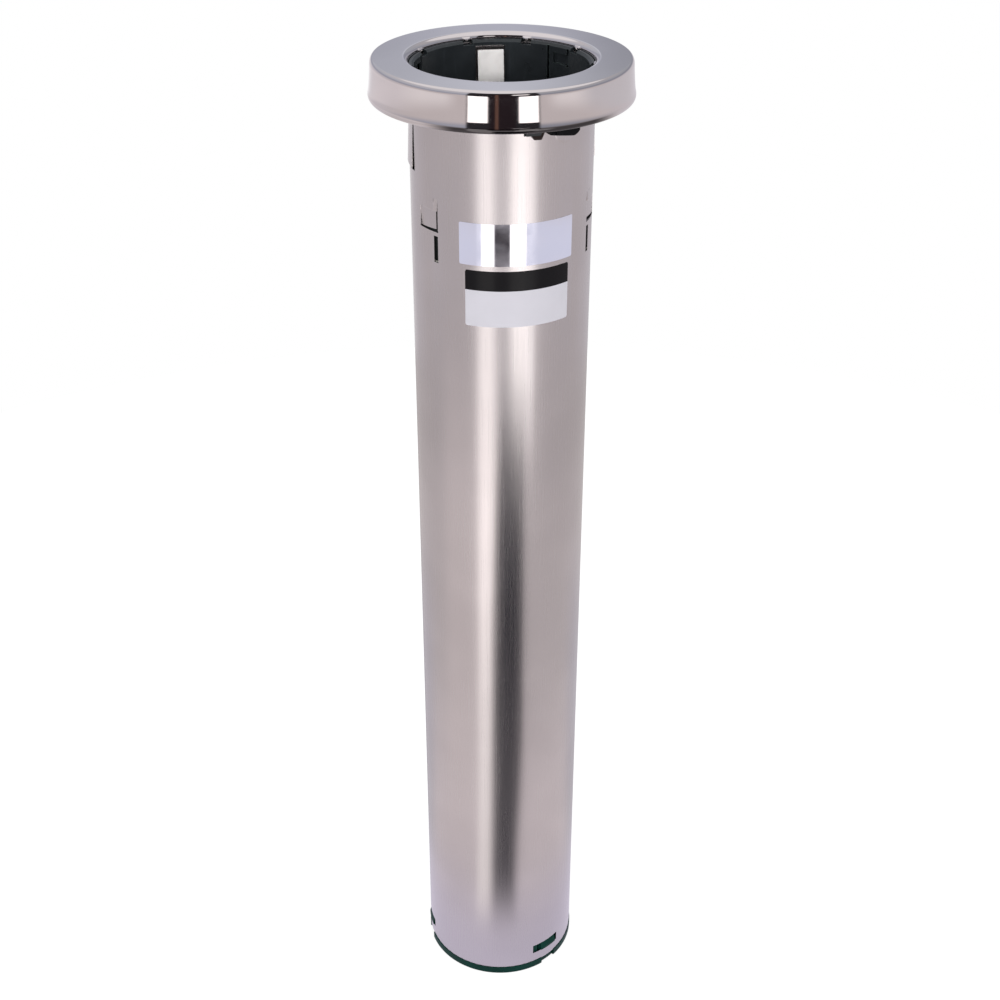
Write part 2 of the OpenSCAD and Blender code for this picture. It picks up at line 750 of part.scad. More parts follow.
// The pusher plate: flat shoulder and domed middle that carry the stack
module pusher_plate() {
    dome_ball_r = (dome_r * dome_r + dome_rise * dome_rise) / (2 * dome_rise);
    head_r = 2 * screw_r;
    post_r = 3 * screw_r;
    color(charcoal) difference() {
        union() {
            difference() {
                union() {
                    translate([0, 0, plate_foot]) cylinder(r = shoulder_r, h = plate_t);
                    intersection() {
                        translate([0, 0, shoulder_top - lap])
                            cylinder(r = dome_r, h = dome_rise + cut);
                        translate([0, 0, shoulder_top + dome_rise - dome_ball_r])
                            sphere(r = dome_ball_r, $fn = 180);
                    }
                }
                intersection() {
                    translate([0, 0, plate_foot - cut])
                        cylinder(r = dome_r - 2 * plate_t, h = dome_rise + plate_t);
                    translate([0, 0, plate_foot + dome_rise - dome_ball_r])
                        sphere(r = dome_ball_r, $fn = 180);
                }
            }
            thirds(0) translate([0, -screw_circle_r, plate_foot])
                cylinder(r = post_r, h = screw_head_z + screw_head_h / 2 - plate_foot, $fn = 48);
        }
        thirds(0) translate([0, -screw_circle_r, plate_foot - cut]) {
            cylinder(r = screw_r + fit_gap / 2, h = dome_rise + 2 * plate_t, $fn = 32);
            translate([0, 0, cut + screw_head_z - plate_foot])
                cylinder(r = head_r + fit_gap, h = dome_rise, $fn = 32);
        }
    }
}

screw_head_h = 1.8;
screw_head_z = shoulder_top + dome_rise / 2 - screw_head_h / 2;

// The pusher body: column round the spring, web for the plate, and the guide skirt
module pusher_body() {
    web_ir = screw_circle_r - 3 * screw_r;
    boss_h = 3 * web_t;
    rib_t = pusher_wall;
    rib_h_share = 0.6;
    glide_low = pusher_foot + (pusher_skirt_h - glide_h) / 3;
    skirt_ir = pusher_skirt_or - pusher_wall - glide_t;
    color(black) {
        difference() {
            union() {
                rotate_extrude() {
                    translate([column_ir, pusher_foot])
                        square([pusher_wall, plate_foot - pusher_foot]);
                    translate([web_ir, web_foot]) square([column_or - web_ir, web_t]);
                    translate([column_ir, pusher_stop - web_t])
                        square([pusher_skirt_or - column_ir, web_t]);
                    translate([skirt_ir, pusher_foot])
                        square([pusher_skirt_or - skirt_ir, pusher_skirt_h]);
                }
                thirds(0) translate([0, -screw_circle_r, plate_foot - boss_h])
                    cylinder(r = 2 * screw_r, h = boss_h, $fn = 48);
            }
            ring(pusher_skirt_or - glide_t, tube_or, glide_low, glide_low + glide_h);
            thirds(0) translate([0, -screw_circle_r, plate_foot - boss_h - cut])
                cylinder(r = screw_r, h = boss_h + 2 * cut, $fn = 32);
            thirds(third / 2)
                front_block(column_or * rib_h_share, column_ir - cut, column_or + cut,
                    pusher_stop + 2 * web_t, web_foot - 2 * web_t);
        }
        for (i = [0:5]) place(60 * i)
            front_block(rib_t, column_or - lap, skirt_ir + lap,
                pusher_foot + pusher_skirt_h * (1 - rib_h_share), pusher_stop - lap);
    }
}

module pusher_screws() {
    socket_r = screw_r / 2;
    head_r = 2 * screw_r;
    shank_len = screw_head_z - plate_foot + 2 * web_t;
    color(spring_steel) thirds(0) translate([0, -screw_circle_r, screw_head_z]) difference() {
        union() {
            translate([0, 0, -shank_len])
                cylinder(r = screw_r - pin_clear, h = shank_len + lap, $fn = 32);
            cylinder(r = head_r, h = screw_head_h, $fn = 32);
        }
        translate([0, 0, screw_head_h / 3]) cylinder(r = socket_r, h = screw_head_h, $fn = 6);
    }
}

// The glide band: a split low-friction ring in the skirt's groove
module glide_band() {
    band_low = pusher_foot + (pusher_skirt_h - glide_h) / 3;
    seat_gap = 0.1;
    split_arc = 3;
    color(pale) place(180)
        ring_piece(pusher_skirt_or - glide_t + seat_gap, glide_or, band_low + seat_gap,
            band_low + glide_h - seat_gap, 180 - split_arc);
}

// The lift spring: closed end turns, then an even pitch
spring_end_gap = 0.6;
spring_foot = seat_top + fit_gap / 2 + spring_wire / 2;
spring_head = web_foot - fit_gap / 2 - spring_wire / 2;

function spring_path() = let (
    end_pitch = spring_wire + spring_end_gap,
    mid_pitch = (spring_head - spring_foot - 2 * end_pitch) / (spring_turns - 2),
    coil = [for (i = [0:spring_turns * curl_rings])
        let (turn = i / curl_rings, a = 360 * turn,
            z = spring_foot + end_pitch * min(turn, 1) + mid_pitch * max(0, min(turn - 1, spring_turns - 2))
                + end_pitch * max(0, turn - spring_turns + 1))
        [spring_r * cos(a), spring_r * sin(a), z]],
    last = len(coil) - 1) concat(
    [coil[0] - spring_wire * [0, 1, 0]], coil, [coil[last] + spring_wire * [0, 1, 0]]);

module lift_spring() {
    color(spring_steel) wire(spring_path(), [0, 0, 1], spring_wire / 2);
}

seat_half_w = 3 * spring_wire / 2;

module spring_seat() {
    color(steel) ring(spring_r - seat_half_w, spring_r + seat_half_w, cap_floor_top, seat_top);
}

// The foot cap: rim, plug with three barbed tongues, spring hub and drain
barb_turn = latch_turn + 2.5;
barb_arc = 15;

module foot_cap() {
    rim_wall = 3;
    rim_proud = 0.35;
    rim_ir = collar_or - rim_wall;
    rim_or = tube_or + rim_proud;
    hub_or = spring_r - seat_half_w - fit_gap;
    hub_ir = hub_or - cap_wall;
    notch_arc = 13.6;
    rim_round_share = 0.2;
    rim_round = cap_rim_h * rim_round_share;
    spoke_count = 6;
    floor_low = cap_floor_top - cap_floor_t;
    tongue_slit = 1.2;
    tongue_edge_arc = 2;
    tongue_low = cap_floor_top + tongue_slit;
    color(cap_green) {
        difference() {
            rotate_extrude() {
                translate([rim_ir, 0]) square([rim_or - rim_round - rim_ir, cap_rim_h]);
                translate([rim_or - rim_round - lap, rim_round])
                    square([rim_round + lap, cap_rim_h - rim_round]);
                translate([rim_or - rim_round, rim_round]) circle(r = rim_round);
                translate([collar_or - cap_wall, floor_low]) square([cap_wall, plug_top - floor_low]);
                translate([drain_r, floor_low]) square([collar_or - drain_r - lap, cap_floor_t]);
                translate([hub_ir, floor_low]) square([cap_wall, cap_hub_h + cap_floor_t]);
            }
            thirds(barb_turn) {
                ring_piece(collar_or - lap, tube_or + cut, -cut, cap_rim_h + fit_gap, notch_arc / 2);
                for (side = [-1, 1]) place(side * (barb_arc / 2 + tongue_edge_arc))
                    front_block(tongue_slit, rim_ir, collar_or + cut, tongue_low, plug_top + cut);
            }
            for (i = [0:spoke_count - 1]) place(360 / spoke_count * i)
                front_block(drain_r / 2, 2 * drain_r, hub_ir - cap_wall, floor_low - cut,
                    cap_floor_top + cut);
        }
        for (i = [0:spoke_count - 1]) place(360 / spoke_count * (i + 0.5))
            front_block(cap_wall, drain_r + cap_wall, rim_ir + lap, cap_wall, floor_low + lap);
        thirds(barb_turn)
            rotate_extrude(angle = barb_arc, start = -90 - barb_arc / 2) barb_form();
    }
}

// Section of a barb: flat catch below, ramp above
module barb_form() {
    seat = foot_slot_z + fit_gap;
    head = foot_slot_z + foot_slot_h - fit_gap;
    root_r = collar_or - cap_wall / 2;
    polygon([[root_r, seat], [tube_or + barb_out, seat], [tube_or + barb_out, (3 * seat + head) / 4],
        [tube_or - tube_wall, head], [root_r, head]]);
}

echo("least gap of the lift spring", coil_gap(spring_path(), spring_wire));
echo("least gap of a finger spring", coil_gap(finger_spring_path(), finger_wire));
echo("travel of the pusher", pusher_travel);

tube();
trim_ring();
flange_core();
collar();
foot_cap();
spring_seat();
lift_spring();
pusher_plate();
pusher_body();
pusher_screws();
glide_band();
place(finger_turn) carrier();  // carrier_left
place(finger_turn + third) carrier();  // carrier_right
place(finger_turn + 2 * third) carrier();  // carrier_rear
place(finger_turn) finger();  // finger_left
place(finger_turn + third) finger();  // finger_right
place(finger_turn + 2 * third) finger();  // finger_rear
place(finger_turn) finger_pin();  // finger_pin_left
place(finger_turn + third) finger_pin();  // finger_pin_right
place(finger_turn + 2 * third) finger_pin();  // finger_pin_rear
place(finger_turn) finger_spring();  // finger_spring_left
place(finger_turn + third) finger_spring();  // finger_spring_right
place(finger_turn + 2 * third) finger_spring();  // finger_spring_rear
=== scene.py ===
"""Finishes, springs, labels and studio for the in-counter cup dispenser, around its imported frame."""

import json
import math

import bpy
import numpy as np
from mathutils import Matrix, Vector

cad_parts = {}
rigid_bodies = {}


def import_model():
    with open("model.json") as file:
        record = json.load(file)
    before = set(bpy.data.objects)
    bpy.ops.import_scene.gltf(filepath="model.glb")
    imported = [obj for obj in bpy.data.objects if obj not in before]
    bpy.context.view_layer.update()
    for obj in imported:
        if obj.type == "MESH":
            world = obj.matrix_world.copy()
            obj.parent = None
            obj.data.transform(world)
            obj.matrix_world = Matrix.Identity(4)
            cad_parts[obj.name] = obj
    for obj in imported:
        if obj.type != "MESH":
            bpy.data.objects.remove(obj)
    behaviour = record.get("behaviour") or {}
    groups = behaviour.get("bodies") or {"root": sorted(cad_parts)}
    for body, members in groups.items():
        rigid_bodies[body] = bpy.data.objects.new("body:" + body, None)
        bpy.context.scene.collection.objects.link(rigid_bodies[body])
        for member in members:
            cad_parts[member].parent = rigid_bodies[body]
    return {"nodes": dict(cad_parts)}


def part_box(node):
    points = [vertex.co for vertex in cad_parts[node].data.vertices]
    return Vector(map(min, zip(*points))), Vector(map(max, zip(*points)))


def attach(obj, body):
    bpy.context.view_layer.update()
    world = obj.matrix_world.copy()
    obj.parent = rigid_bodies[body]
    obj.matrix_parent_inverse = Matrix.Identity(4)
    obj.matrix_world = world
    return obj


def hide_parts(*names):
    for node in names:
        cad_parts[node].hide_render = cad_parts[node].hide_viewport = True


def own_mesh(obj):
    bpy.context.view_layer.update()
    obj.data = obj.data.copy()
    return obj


bl_info = {
    "name": "In-counter cup dispenser",
    "version": (1, 0, 0),
    "blender": (4, 5, 0),
    "location": "3D View > Sidebar > Dispenser",
    "description": "Dresses the cup dispenser's frame with springs, labels, finishes and a studio",
    "category": "Object",
}

for leftover in list(bpy.data.objects):
    bpy.data.objects.remove(leftover)

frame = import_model()
bpy.context.view_layer.update()
NODES = frame["nodes"]

MM = 0.001
SIDES = ("left", "right", "rear")

# From the frame: the tube's outer radius, measured where no leaf stands out, and the trim ring's heights
TUBE_R = -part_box("tube")[0].y
RING_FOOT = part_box("trim_ring")[0].z
TOP_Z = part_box("trim_ring")[1].z

# The ring's lip: the radius of its wall, and that of the round from the wall into the face
LIP_R = 46.7 * MM
LIP_ROUND = 3.0 * MM

# Where the camera stands round the object, in degrees: 0 is the front, and right is positive
CAMERA_AZIMUTH = -12.0

# The range that most of a noise's values lie in
NOISE = (0.3, 0.7)


# Values that a user would change


def length(name, description, default, precision=4):
    """A length in the sidebar."""
    return bpy.props.FloatProperty(name=name, description=description, default=default, unit="LENGTH",
                                   precision=precision)


def tint(name, description, default):
    """A colour in the sidebar."""
    return bpy.props.FloatVectorProperty(name=name, description=description, default=default,
                                         subtype="COLOR", size=3, min=0, max=1)


class DispenserSprings(bpy.types.PropertyGroup):
    """Sizes of the wound springs."""

    lift_wire: length("Lift spring wire", "Diameter of the lift spring's wire", 2.2 * MM)
    lift_turns: bpy.props.IntProperty(
        name="Lift spring turns", description="Turns of the lift spring, closed ends included",
        default=24, min=6)
    finger_wire: length("Finger spring wire", "Diameter of a finger spring's wire", 0.5 * MM)
    finger_turns: bpy.props.IntProperty(
        name="Finger spring turns", description="Turns of a finger spring round its pin",
        default=3, min=2)


class DispenserLabels(bpy.types.PropertyGroup):
    """Sizes, places and colours of the two blank labels on the tube."""

    upper_top: length("Upper label below the face", "Depth of the upper label's top edge", 71.5 * MM)
    upper_height: length("Upper label height", "Height of the upper label", 22.3 * MM)
    lower_top: length("Lower label below the face", "Depth of the lower label's top edge", 96.5 * MM)
    lower_height: length("Lower label height", "Height of the lower label", 30.5 * MM)
    film: tint("Label film", "Colour of the labels' film", (0.76, 0.75, 0.82))
    band: tint("Label band", "Colour of the printed band on the lower label", (0.005, 0.0045, 0.0055))


class DispenserFinish(bpy.types.PropertyGroup):
    """Colours of the metals and mouldings."""

    satin: tint("Satin steel", "Rolled steel of the tube", (0.55, 0.515, 0.52))
    polished: tint("Polished steel", "Polished steel of the trim ring", (0.68, 0.635, 0.64))
    sprung: tint("Spring steel", "Fingers, pins and springs", (0.62, 0.60, 0.59))
    liner: tint("Liner green", "Dark green plastic of the mouth's liner", (0.018, 0.021, 0.024))
    cap: tint("Cap green", "Green plastic of the foot cap", (0.0015, 0.030, 0.022))
    black: tint("Black plastic", "Black plastic of the core and the carriers", (0.005, 0.005, 0.006))
    natural: tint("Natural plastic", "Unpigmented low-friction plastic of the glide", (0.72, 0.70, 0.63))


class DispenserStudio(bpy.types.PropertyGroup):
    """Light and floor."""

    floor_radius: length("Floor radius", "Radius of the pale floor", 0.95, precision=2)
    fill: bpy.props.FloatProperty(
        name="Fill", description="Even light from all round", default=0.72, min=0)
    key: bpy.props.FloatProperty(
        name="Softboxes", description="Power of each softbox", default=9.0, min=0, unit="POWER")
    softbox: bpy.props.FloatProperty(
        name="Softbox face", description="Brightness of a softbox's face in polished steel",
        default=2.2, min=0)


GROUPS = {
    "dispenser_springs": DispenserSprings,
    "dispenser_labels": DispenserLabels,
    "dispenser_finish": DispenserFinish,
    "dispenser_studio": DispenserStudio,
}


def setting(group):
    """The scene's property group of that name."""
    return getattr(bpy.context.scene, group)


# Node trees


class Graph:
    """Adds nodes to a tree. An input is given by name or number, as a value or as another node's output,
    and a colour as its red, green and blue."""

    def __init__(self, tree):
        self.tree = tree

    def add(self, kind, inputs=None, **settings):
        made = self.tree.nodes.new(kind)
        for name, value in settings.items():
            setattr(made, name, value)
        self.give(made, inputs or {})
        return made

    def give(self, node, inputs):
        for name, value in inputs.items():
            socket = node.inputs[name]
            if isinstance(value, bpy.types.NodeSocket):
                self.tree.links.new(value, socket)
            elif socket.type == "RGBA":
                socket.default_value = (*value, 1.0)
            else:
                socket.default_value = value

    def math(self, operation, *values):
        return self.add("ShaderNodeMath", dict(enumerate(values)), operation=operation).outputs[0]

    def times(self, *values):
        """The product of one value or more."""
        product = values[0]
        for value in values[1:]:
            product = self.math("MULTIPLY", product, value)
        return product

    def vector(self, operation, *values):
        return self.add("ShaderNodeVectorMath", dict(enumerate(values)), operation=operation).outputs[0]

    def combine(self, x, y, z):
        return self.add("ShaderNodeCombineXYZ", {0: x, 1: y, 2: z}).outputs[0]

    def split(self, vector):
        return self.add("ShaderNodeSeparateXYZ", {0: vector}).outputs

    def off_axis(self, x, y):
        """The distance from the upright axis."""
        return self.math("SQRT", self.math("ADD", self.times(x, x), self.times(y, y)))

    def turn(self, x, y):
        """The turn round the upright axis from the front, right positive, in radians."""
        return self.math("ARCTAN2", x, self.times(y, -1.0))

    def blend(self, share, first, second, how="MIX"):
        return self.add("ShaderNodeMix", {0: share, 6: first, 7: second}, data_type="RGBA",
                        blend_type=how).outputs[2]

    def lay(self, base, over, *masks):
        """The base with another colour over it where all the masks are 1."""
        return self.blend(self.times(*masks), base, over)

    def dim(self, base, share):
        """A colour times a number."""
        return self.blend(1.0, base, self.combine(share, share, share), "MULTIPLY")

    def step(self, value, start, end, low=0.0, high=1.0):
        return self.add("ShaderNodeMapRange", {0: value, 1: start, 2: end, 3: low, 4: high},
                        interpolation_type="SMOOTHSTEP").outputs[0]

    def span(self, value, low, high, soft):
        """1 between low and high, falling to 0 within soft of each."""
        return self.times(self.step(value, low - soft, low + soft),
                          self.step(value, high - soft, high + soft, 1.0, 0.0))

    def noise(self, place, scale, detail, roughness=0.55):
        inputs = {"Vector": place, "Scale": scale, "Detail": detail, "Roughness": roughness}
        return self.add("ShaderNodeTexNoise", inputs).outputs["Fac"]


def new_group(name, inputs, outputs):
    """An empty node group with float or vector sockets, and its Graph, inputs and output node."""
    tree = bpy.data.node_groups.new(name, "ShaderNodeTree")
    kinds = {"value": "NodeSocketFloat", "vector": "NodeSocketVector"}
    for label, kind, default in inputs:
        socket = tree.interface.new_socket(label, in_out="INPUT", socket_type=kinds[kind])
        socket.default_value = default
    for label, kind in outputs:
        tree.interface.new_socket(label, in_out="OUTPUT", socket_type=kinds[kind])
    graph = Graph(tree)
    return tree, graph, graph.add("NodeGroupInput").outputs, graph.add("NodeGroupOutput")


def grain_group():
    """Drawn grain: noise stretched along one direction, and a broad cloud. Stretch is the vector that the
    place is multiplied by, so its small component is the grain's direction."""
    tree, graph, given, out = new_group(
        "drawn grain",
        [("Place", "vector", (0, 0, 0)), ("Stretch", "vector", (900, 900, 14)), ("Cloud", "value", 22.0)],
        [("Grain", "value"), ("Cloud", "value")])
    stretched = graph.vector("MULTIPLY", given["Place"], given["Stretch"])
    graph.give(out, {"Grain": graph.noise(stretched, 1.0, 4.0, 0.6),
                     "Cloud": graph.noise(given["Place"], given["Cloud"], 2.0, 0.5)})
    return tree


def round_place_group():
    """Place round the upright axis, for spun and rolled work. Round holds the distance from the axis, the way
    round a cylinder of the tube's radius, and the height."""
    tree, graph, given, out = new_group(
        "place round the axis", [("Place", "vector", (0, 0, 0))],
        [("Round", "vector"), ("Turn", "value"), ("Height", "value")])
    x, y, z = graph.split(given["Place"])
    turn = graph.turn(x, y)
    flat = graph.combine(graph.off_axis(x, y), graph.times(turn, TUBE_R), z)
    graph.give(out, {"Round": flat, "Turn": turn, "Height": z})
    return tree


def worn_edge_group():
    """Mask of the edges, where a normal rounded over Width departs from the face's own, broken by noise."""
    tree, graph, given, out = new_group(
        "worn edge", [("Place", "vector", (0, 0, 0)), ("Width", "value", 0.6 * MM)], [("Edge", "value")])
    rounded = graph.add("ShaderNodeBevel", {"Radius": given["Width"]}, samples=4).outputs[0]
    true = graph.add("ShaderNodeNewGeometry").outputs["Normal"]
    agree = graph.add("ShaderNodeVectorMath", {0: rounded, 1: true}, operation="DOT_PRODUCT").outputs["Value"]
    broken = graph.step(graph.noise(given["Place"], 420.0, 4.0, 0.7), 0.35, 0.62)
    graph.give(out, {"Edge": graph.times(graph.step(agree, 0.985, 0.80), broken)})
    return tree


def moulded_group():
    """Moulded skin: a fine pebble, slow flow clouds and a few rubbed streaks."""
    tree, graph, given, out = new_group(
        "moulded skin",
        [("Place", "vector", (0, 0, 0)), ("Pebble", "value", 2600.0), ("Flow", "value", 45.0)],
        [("Pebble", "value"), ("Flow", "value"), ("Rub", "value")])
    rubbed = graph.vector("MULTIPLY", given["Place"], (260.0, 260.0, 30.0))
    graph.give(out, {"Pebble": graph.noise(given["Place"], given["Pebble"], 2.0, 0.5),
                     "Flow": graph.noise(given["Place"], given["Flow"], 3.0, 0.6),
                     "Rub": graph.step(graph.noise(rubbed, 1.0, 5.0, 0.7), 0.56, 0.74)})
    return tree


MAKERS = {"grain": grain_group, "round": round_place_group, "worn": worn_edge_group,
          "moulded": moulded_group}
SHARED = {}


def use(graph, name, inputs):
    """Places a node group in a finish. It is built once, for all the finishes that use it."""
    if name not in SHARED:
        SHARED[name] = MAKERS[name]()
    return graph.add("ShaderNodeGroup", inputs, node_tree=SHARED[name]).outputs


def new_finish(name, sockets):
    """A material with a Principled BSDF whose plain sockets are set. Gives the material, its Graph,
    the shader and the object's own coordinates."""
    made = bpy.data.materials.new(name)
    made.use_nodes = True
    graph = Graph(made.node_tree)
    shader = made.node_tree.nodes["Principled BSDF"]
    graph.give(shader, sockets)
    place = graph.add("ShaderNodeTexCoord").outputs["Object"]
    return made, graph, shader, place


def bump(graph, height, strength, distance):
    """A normal from a height."""
    inputs = {"Strength": strength, "Distance": distance, "Height": height}
    return graph.add("ShaderNodeBump", inputs).outputs[0]


def shaded(graph, base, factor, low, high):
    """The base colour times a share that runs from low to high with factor."""
    return graph.dim(base, graph.step(factor, *NOISE, low, high))


# Metals


def satin_tube():
    """Rolled satin sheet: fine upright grain, soft clouds, bright broken edges and a seam at the back."""
    worn, seam_tone = (0.80, 0.77, 0.77), (0.40, 0.36, 0.34)
    seam_in, seam_out = 0.012, 0.02
    made, graph, shader, place = new_finish("satin tube", {"Metallic": 1.0, "Anisotropic": 0.2})
    around = use(graph, "round", {"Place": place})
    grain = use(graph, "grain", {"Place": around["Round"], "Stretch": (0.0, 1500.0, 16.0), "Cloud": 16.0})
    edge = use(graph, "worn", {"Place": place, "Width": 0.5 * MM})["Edge"]
    base = shaded(graph, setting("dispenser_finish").satin, grain["Cloud"], 0.95, 1.04)
    base = graph.lay(base, worn, edge)
    off_seam = graph.math("SUBTRACT", graph.math("ABSOLUTE", around["Turn"]), math.pi)
    seam = graph.step(graph.math("ABSOLUTE", off_seam), seam_in, seam_out, 1.0, 0.0)
    base = graph.lay(base, seam_tone, seam, 0.35)
    rough = graph.math("ADD", graph.step(grain["Grain"], 0.25, 0.75, 0.23, 0.28), graph.times(seam, 0.08))
    x, y, z = graph.split(place)
    across = graph.vector("NORMALIZE", graph.combine(graph.times(y, -1.0), x, 0.0))
    graph.give(shader, {"Base Color": base, "Roughness": rough, "Tangent": across,
                        "Normal": bump(graph, grain["Grain"], 0.10, 0.02 * MM)})
    return made


def polished_ring():
    """Polished sheet of the trim ring: faint spun lines on the face and the skirt, hairline scratches, and a
    painted shade on the bead round the front."""
    bead_painted_shade, dark_low, dark_high = (0.02, 0.018, 0.02), RING_FOOT + 2.3 * MM, RING_FOOT + 3.1 * MM
    dark_left, dark_right, soft = math.radians(-40), math.radians(37), 0.16
    made, graph, shader, place = new_finish("polished ring", {"Metallic": 1.0})
    around = use(graph, "round", {"Place": place})
    grain = use(graph, "grain", {"Place": around["Round"], "Stretch": (5200.0, 9.0, 5200.0), "Cloud": 30.0})
    hair = graph.noise(graph.vector("MULTIPLY", place, (340.0, 60.0, 200.0)), 2.0, 6.0, 0.8)
    base = shaded(graph, setting("dispenser_finish").polished, grain["Cloud"], 0.97, 1.02)
    # Painted shade: the bead is darkened low on the ring and round the front
    low = graph.step(around["Height"], dark_low, dark_high, 1.0, 0.0)
    front = graph.span(around["Turn"], dark_left, dark_right, soft)
    base = graph.lay(base, bead_painted_shade, low, front, 0.93)
    rough = graph.math("ADD", graph.step(grain["Grain"], *NOISE, 0.045, 0.075),
                       graph.times(graph.step(hair, 0.68, 0.78), 0.10))
    graph.give(shader, {"Base Color": base, "Roughness": rough,
                        "Normal": bump(graph, grain["Grain"], 0.05, 0.006 * MM)})
    return made


def spring_steel(name, rough, tone, stretch, metallic=1.0):
    """Bright spring steel with a light drawn grain, its colour times tone. A low metallic share makes it a
    matt, whitish steel; on the fingers that and a tone above 1 are a painted sheen."""
    made, graph, shader, place = new_finish(name, {"Metallic": metallic})
    grain = use(graph, "grain", {"Place": place, "Stretch": stretch, "Cloud": 120.0})
    edge = use(graph, "worn", {"Place": place, "Width": 0.3 * MM})["Edge"]
    base = [min(1.0, part * tone) for part in setting("dispenser_finish").sprung]
    base = shaded(graph, base, grain["Cloud"], 0.9, 1.05)
    graph.give(shader, {"Base Color": graph.lay(base, (0.86, 0.85, 0.84), edge),
                        "Roughness": graph.step(grain["Grain"], *NOISE, *rough),
                        "Normal": bump(graph, grain["Grain"], 0.12, 0.01 * MM)})
    return made


def plated_steel(name, base):
    """Zinc-plated steel: a crystalline cloud in tone and roughness."""
    made, graph, shader, place = new_finish(name, {"Metallic": 1.0})
    spangle = graph.add("ShaderNodeTexVoronoi", {"Vector": place, "Scale": 240.0}, feature="F1")
    tone = graph.split(spangle.outputs["Color"])[0]
    graph.give(shader, {"Base Color": graph.dim(base, graph.step(tone, 0.0, 1.0, 0.86, 1.05)),
                        "Roughness": graph.step(tone, 0.0, 1.0, 0.24, 0.40),
                        "Normal": bump(graph, tone, 0.15, 0.02 * MM)})
    return made


# Mouldings


def moulding(name, base, rough, worn=(0.10, 0.11, 0.11), rub_tone=1.5, depth=0.02 * MM, worn_share=0.6,
             specular=0.3):
    """Moulded plastic: pebbled skin, flow clouds, rubbed streaks that are a little smoother and paler, and
    paler edges."""
    made, graph, shader, place = new_finish(name, {"IOR": 1.49, "Specular IOR Level": specular})
    skin = use(graph, "moulded", {"Place": place})
    edge = use(graph, "worn", {"Place": place})["Edge"]
    rubbed = [min(1.0, part * rub_tone + 0.004) for part in base]
    tone = shaded(graph, base, skin["Flow"], 0.82, 1.18)
    tone = graph.lay(tone, rubbed, skin["Rub"], 0.5)
    tone = graph.lay(tone, worn, edge, worn_share)
    gloss = graph.math("SUBTRACT", graph.step(skin["Flow"], *NOISE, *rough), graph.times(skin["Rub"], 0.06))
    graph.give(shader, {"Base Color": tone, "Roughness": gloss,
                        "Normal": bump(graph, skin["Pebble"], 0.25, depth)})
    return made


def label_film(name, print_low=None):
    """A label's film. Without a print it is metallised. Otherwise it is white up to the height print_low, and
    above that lies the print, a dark band with a slightly broken edge."""
    labels = setting("dispenser_labels")
    made, graph, shader, place = new_finish(name, {"IOR": 1.45})
    cloud = graph.noise(place, 90.0, 3.0, 0.5)
    tone = shaded(graph, labels.film, cloud, 0.985, 1.01)
    if print_low is None:
        rough = (0.05, 0.08)
        graph.give(shader, {"Metallic": 1.0})
    else:
        rough, ink_edge = (0.16, 0.24), 0.06 * MM
        broken = graph.times(graph.noise(place, 3000.0, 2.0), ink_edge)
        z = graph.math("ADD", graph.split(place)[2], broken)
        tone = graph.blend(1.0, tone, (0.72, 0.71, 0.71), "MULTIPLY")
        tone = graph.lay(tone, labels.band, graph.step(z, print_low - ink_edge, print_low + ink_edge))
        graph.give(shader, {"Specular IOR Level": 0.15})
    graph.give(shader, {"Base Color": tone, "Roughness": graph.step(cloud, *NOISE, *rough),
                        "Normal": bump(graph, cloud, 0.10, 0.03 * MM)})
    return made


# Surfaces


def put_grid(name, points, around=False, along=False, caps=(), smooth=True):
    """A mesh object from a grid of points, rows along the first index: one quad between each four neighbours.
    Around closes each row, and along joins the last row to the first. Caps are rings of point numbers, and
    stay flat."""
    rows, columns = points.shape[:2]
    row = np.arange(rows if along else rows - 1)[:, None]
    column = np.arange(columns if around else columns - 1)[None, :]
    below, right = (row + 1) % rows, (column + 1) % columns
    faces = np.stack([row * columns + column, row * columns + right,
                      below * columns + right, below * columns + column], -1).reshape(-1, 4)
    mesh = bpy.data.meshes.new(name)
    mesh.from_pydata(points.reshape(-1, 3).tolist(), [], faces.tolist() + [list(cap) for cap in caps])
    mesh.polygons.foreach_set("use_smooth", [smooth] * len(faces) + [False] * len(caps))
    mesh.update()
    made = bpy.data.objects.new(name, mesh)
    bpy.context.scene.collection.objects.link(made)
    return made


def round_axis(radius, turn, z):
    """Points at a radius from the upright axis, a turn from the front in radians, and a height."""
    return np.stack(np.broadcast_arrays(radius * np.sin(turn), -radius * np.cos(turn), z), -1)


def arc(centre, across, up, start, end, steps):
    """Points of an ellipse's arc in radius and height, from one angle in degrees to another."""
    a = np.radians(np.linspace(start, end, steps))
    return np.stack([centre[0] + across * np.cos(a), centre[1] + up * np.sin(a)], 1)


def bent(start, knee, end, q):
    """Points of a quadratic curve that leaves its start towards the knee, for q from 0 to 1."""
    return (1 - q) ** 2 * start + 2 * q * (1 - q) * knee + q ** 2 * end


def wire_along(name, path, axis, radius, sides=14):
    """Round wire: at each point of the path a circle of that radius stands square to the path's direction t,
    spanned by u = t x axis and v = t x u. Flat caps close both ends."""
    ahead = np.roll(path, -1, 0) - np.roll(path, 1, 0)
    ahead[0], ahead[-1] = path[1] - path[0], path[-1] - path[-2]
    ahead /= np.linalg.norm(ahead, axis=1)[:, None]
    u = np.cross(ahead, np.asarray(axis, float))
    u /= np.linalg.norm(u, axis=1)[:, None]
    v = np.cross(ahead, u)
    turn = np.linspace(0, 2 * np.pi, sides, endpoint=False)
    rings = (path[:, None, :] + radius * (np.cos(turn)[None, :, None] * u[:, None, :]
                                          + np.sin(turn)[None, :, None] * v[:, None, :]))
    last = (len(path) - 1) * sides
    return put_grid(name, rings, around=True, caps=[range(sides - 1, -1, -1), range(last, last + sides)])


def turned_to(points, azimuth):
    """Points built at the front, turned round the upright axis."""
    a = math.radians(azimuth)
    spin = np.array([[math.cos(a), -math.sin(a), 0], [math.sin(a), math.cos(a), 0], [0, 0, 1]])
    return points @ spin.T


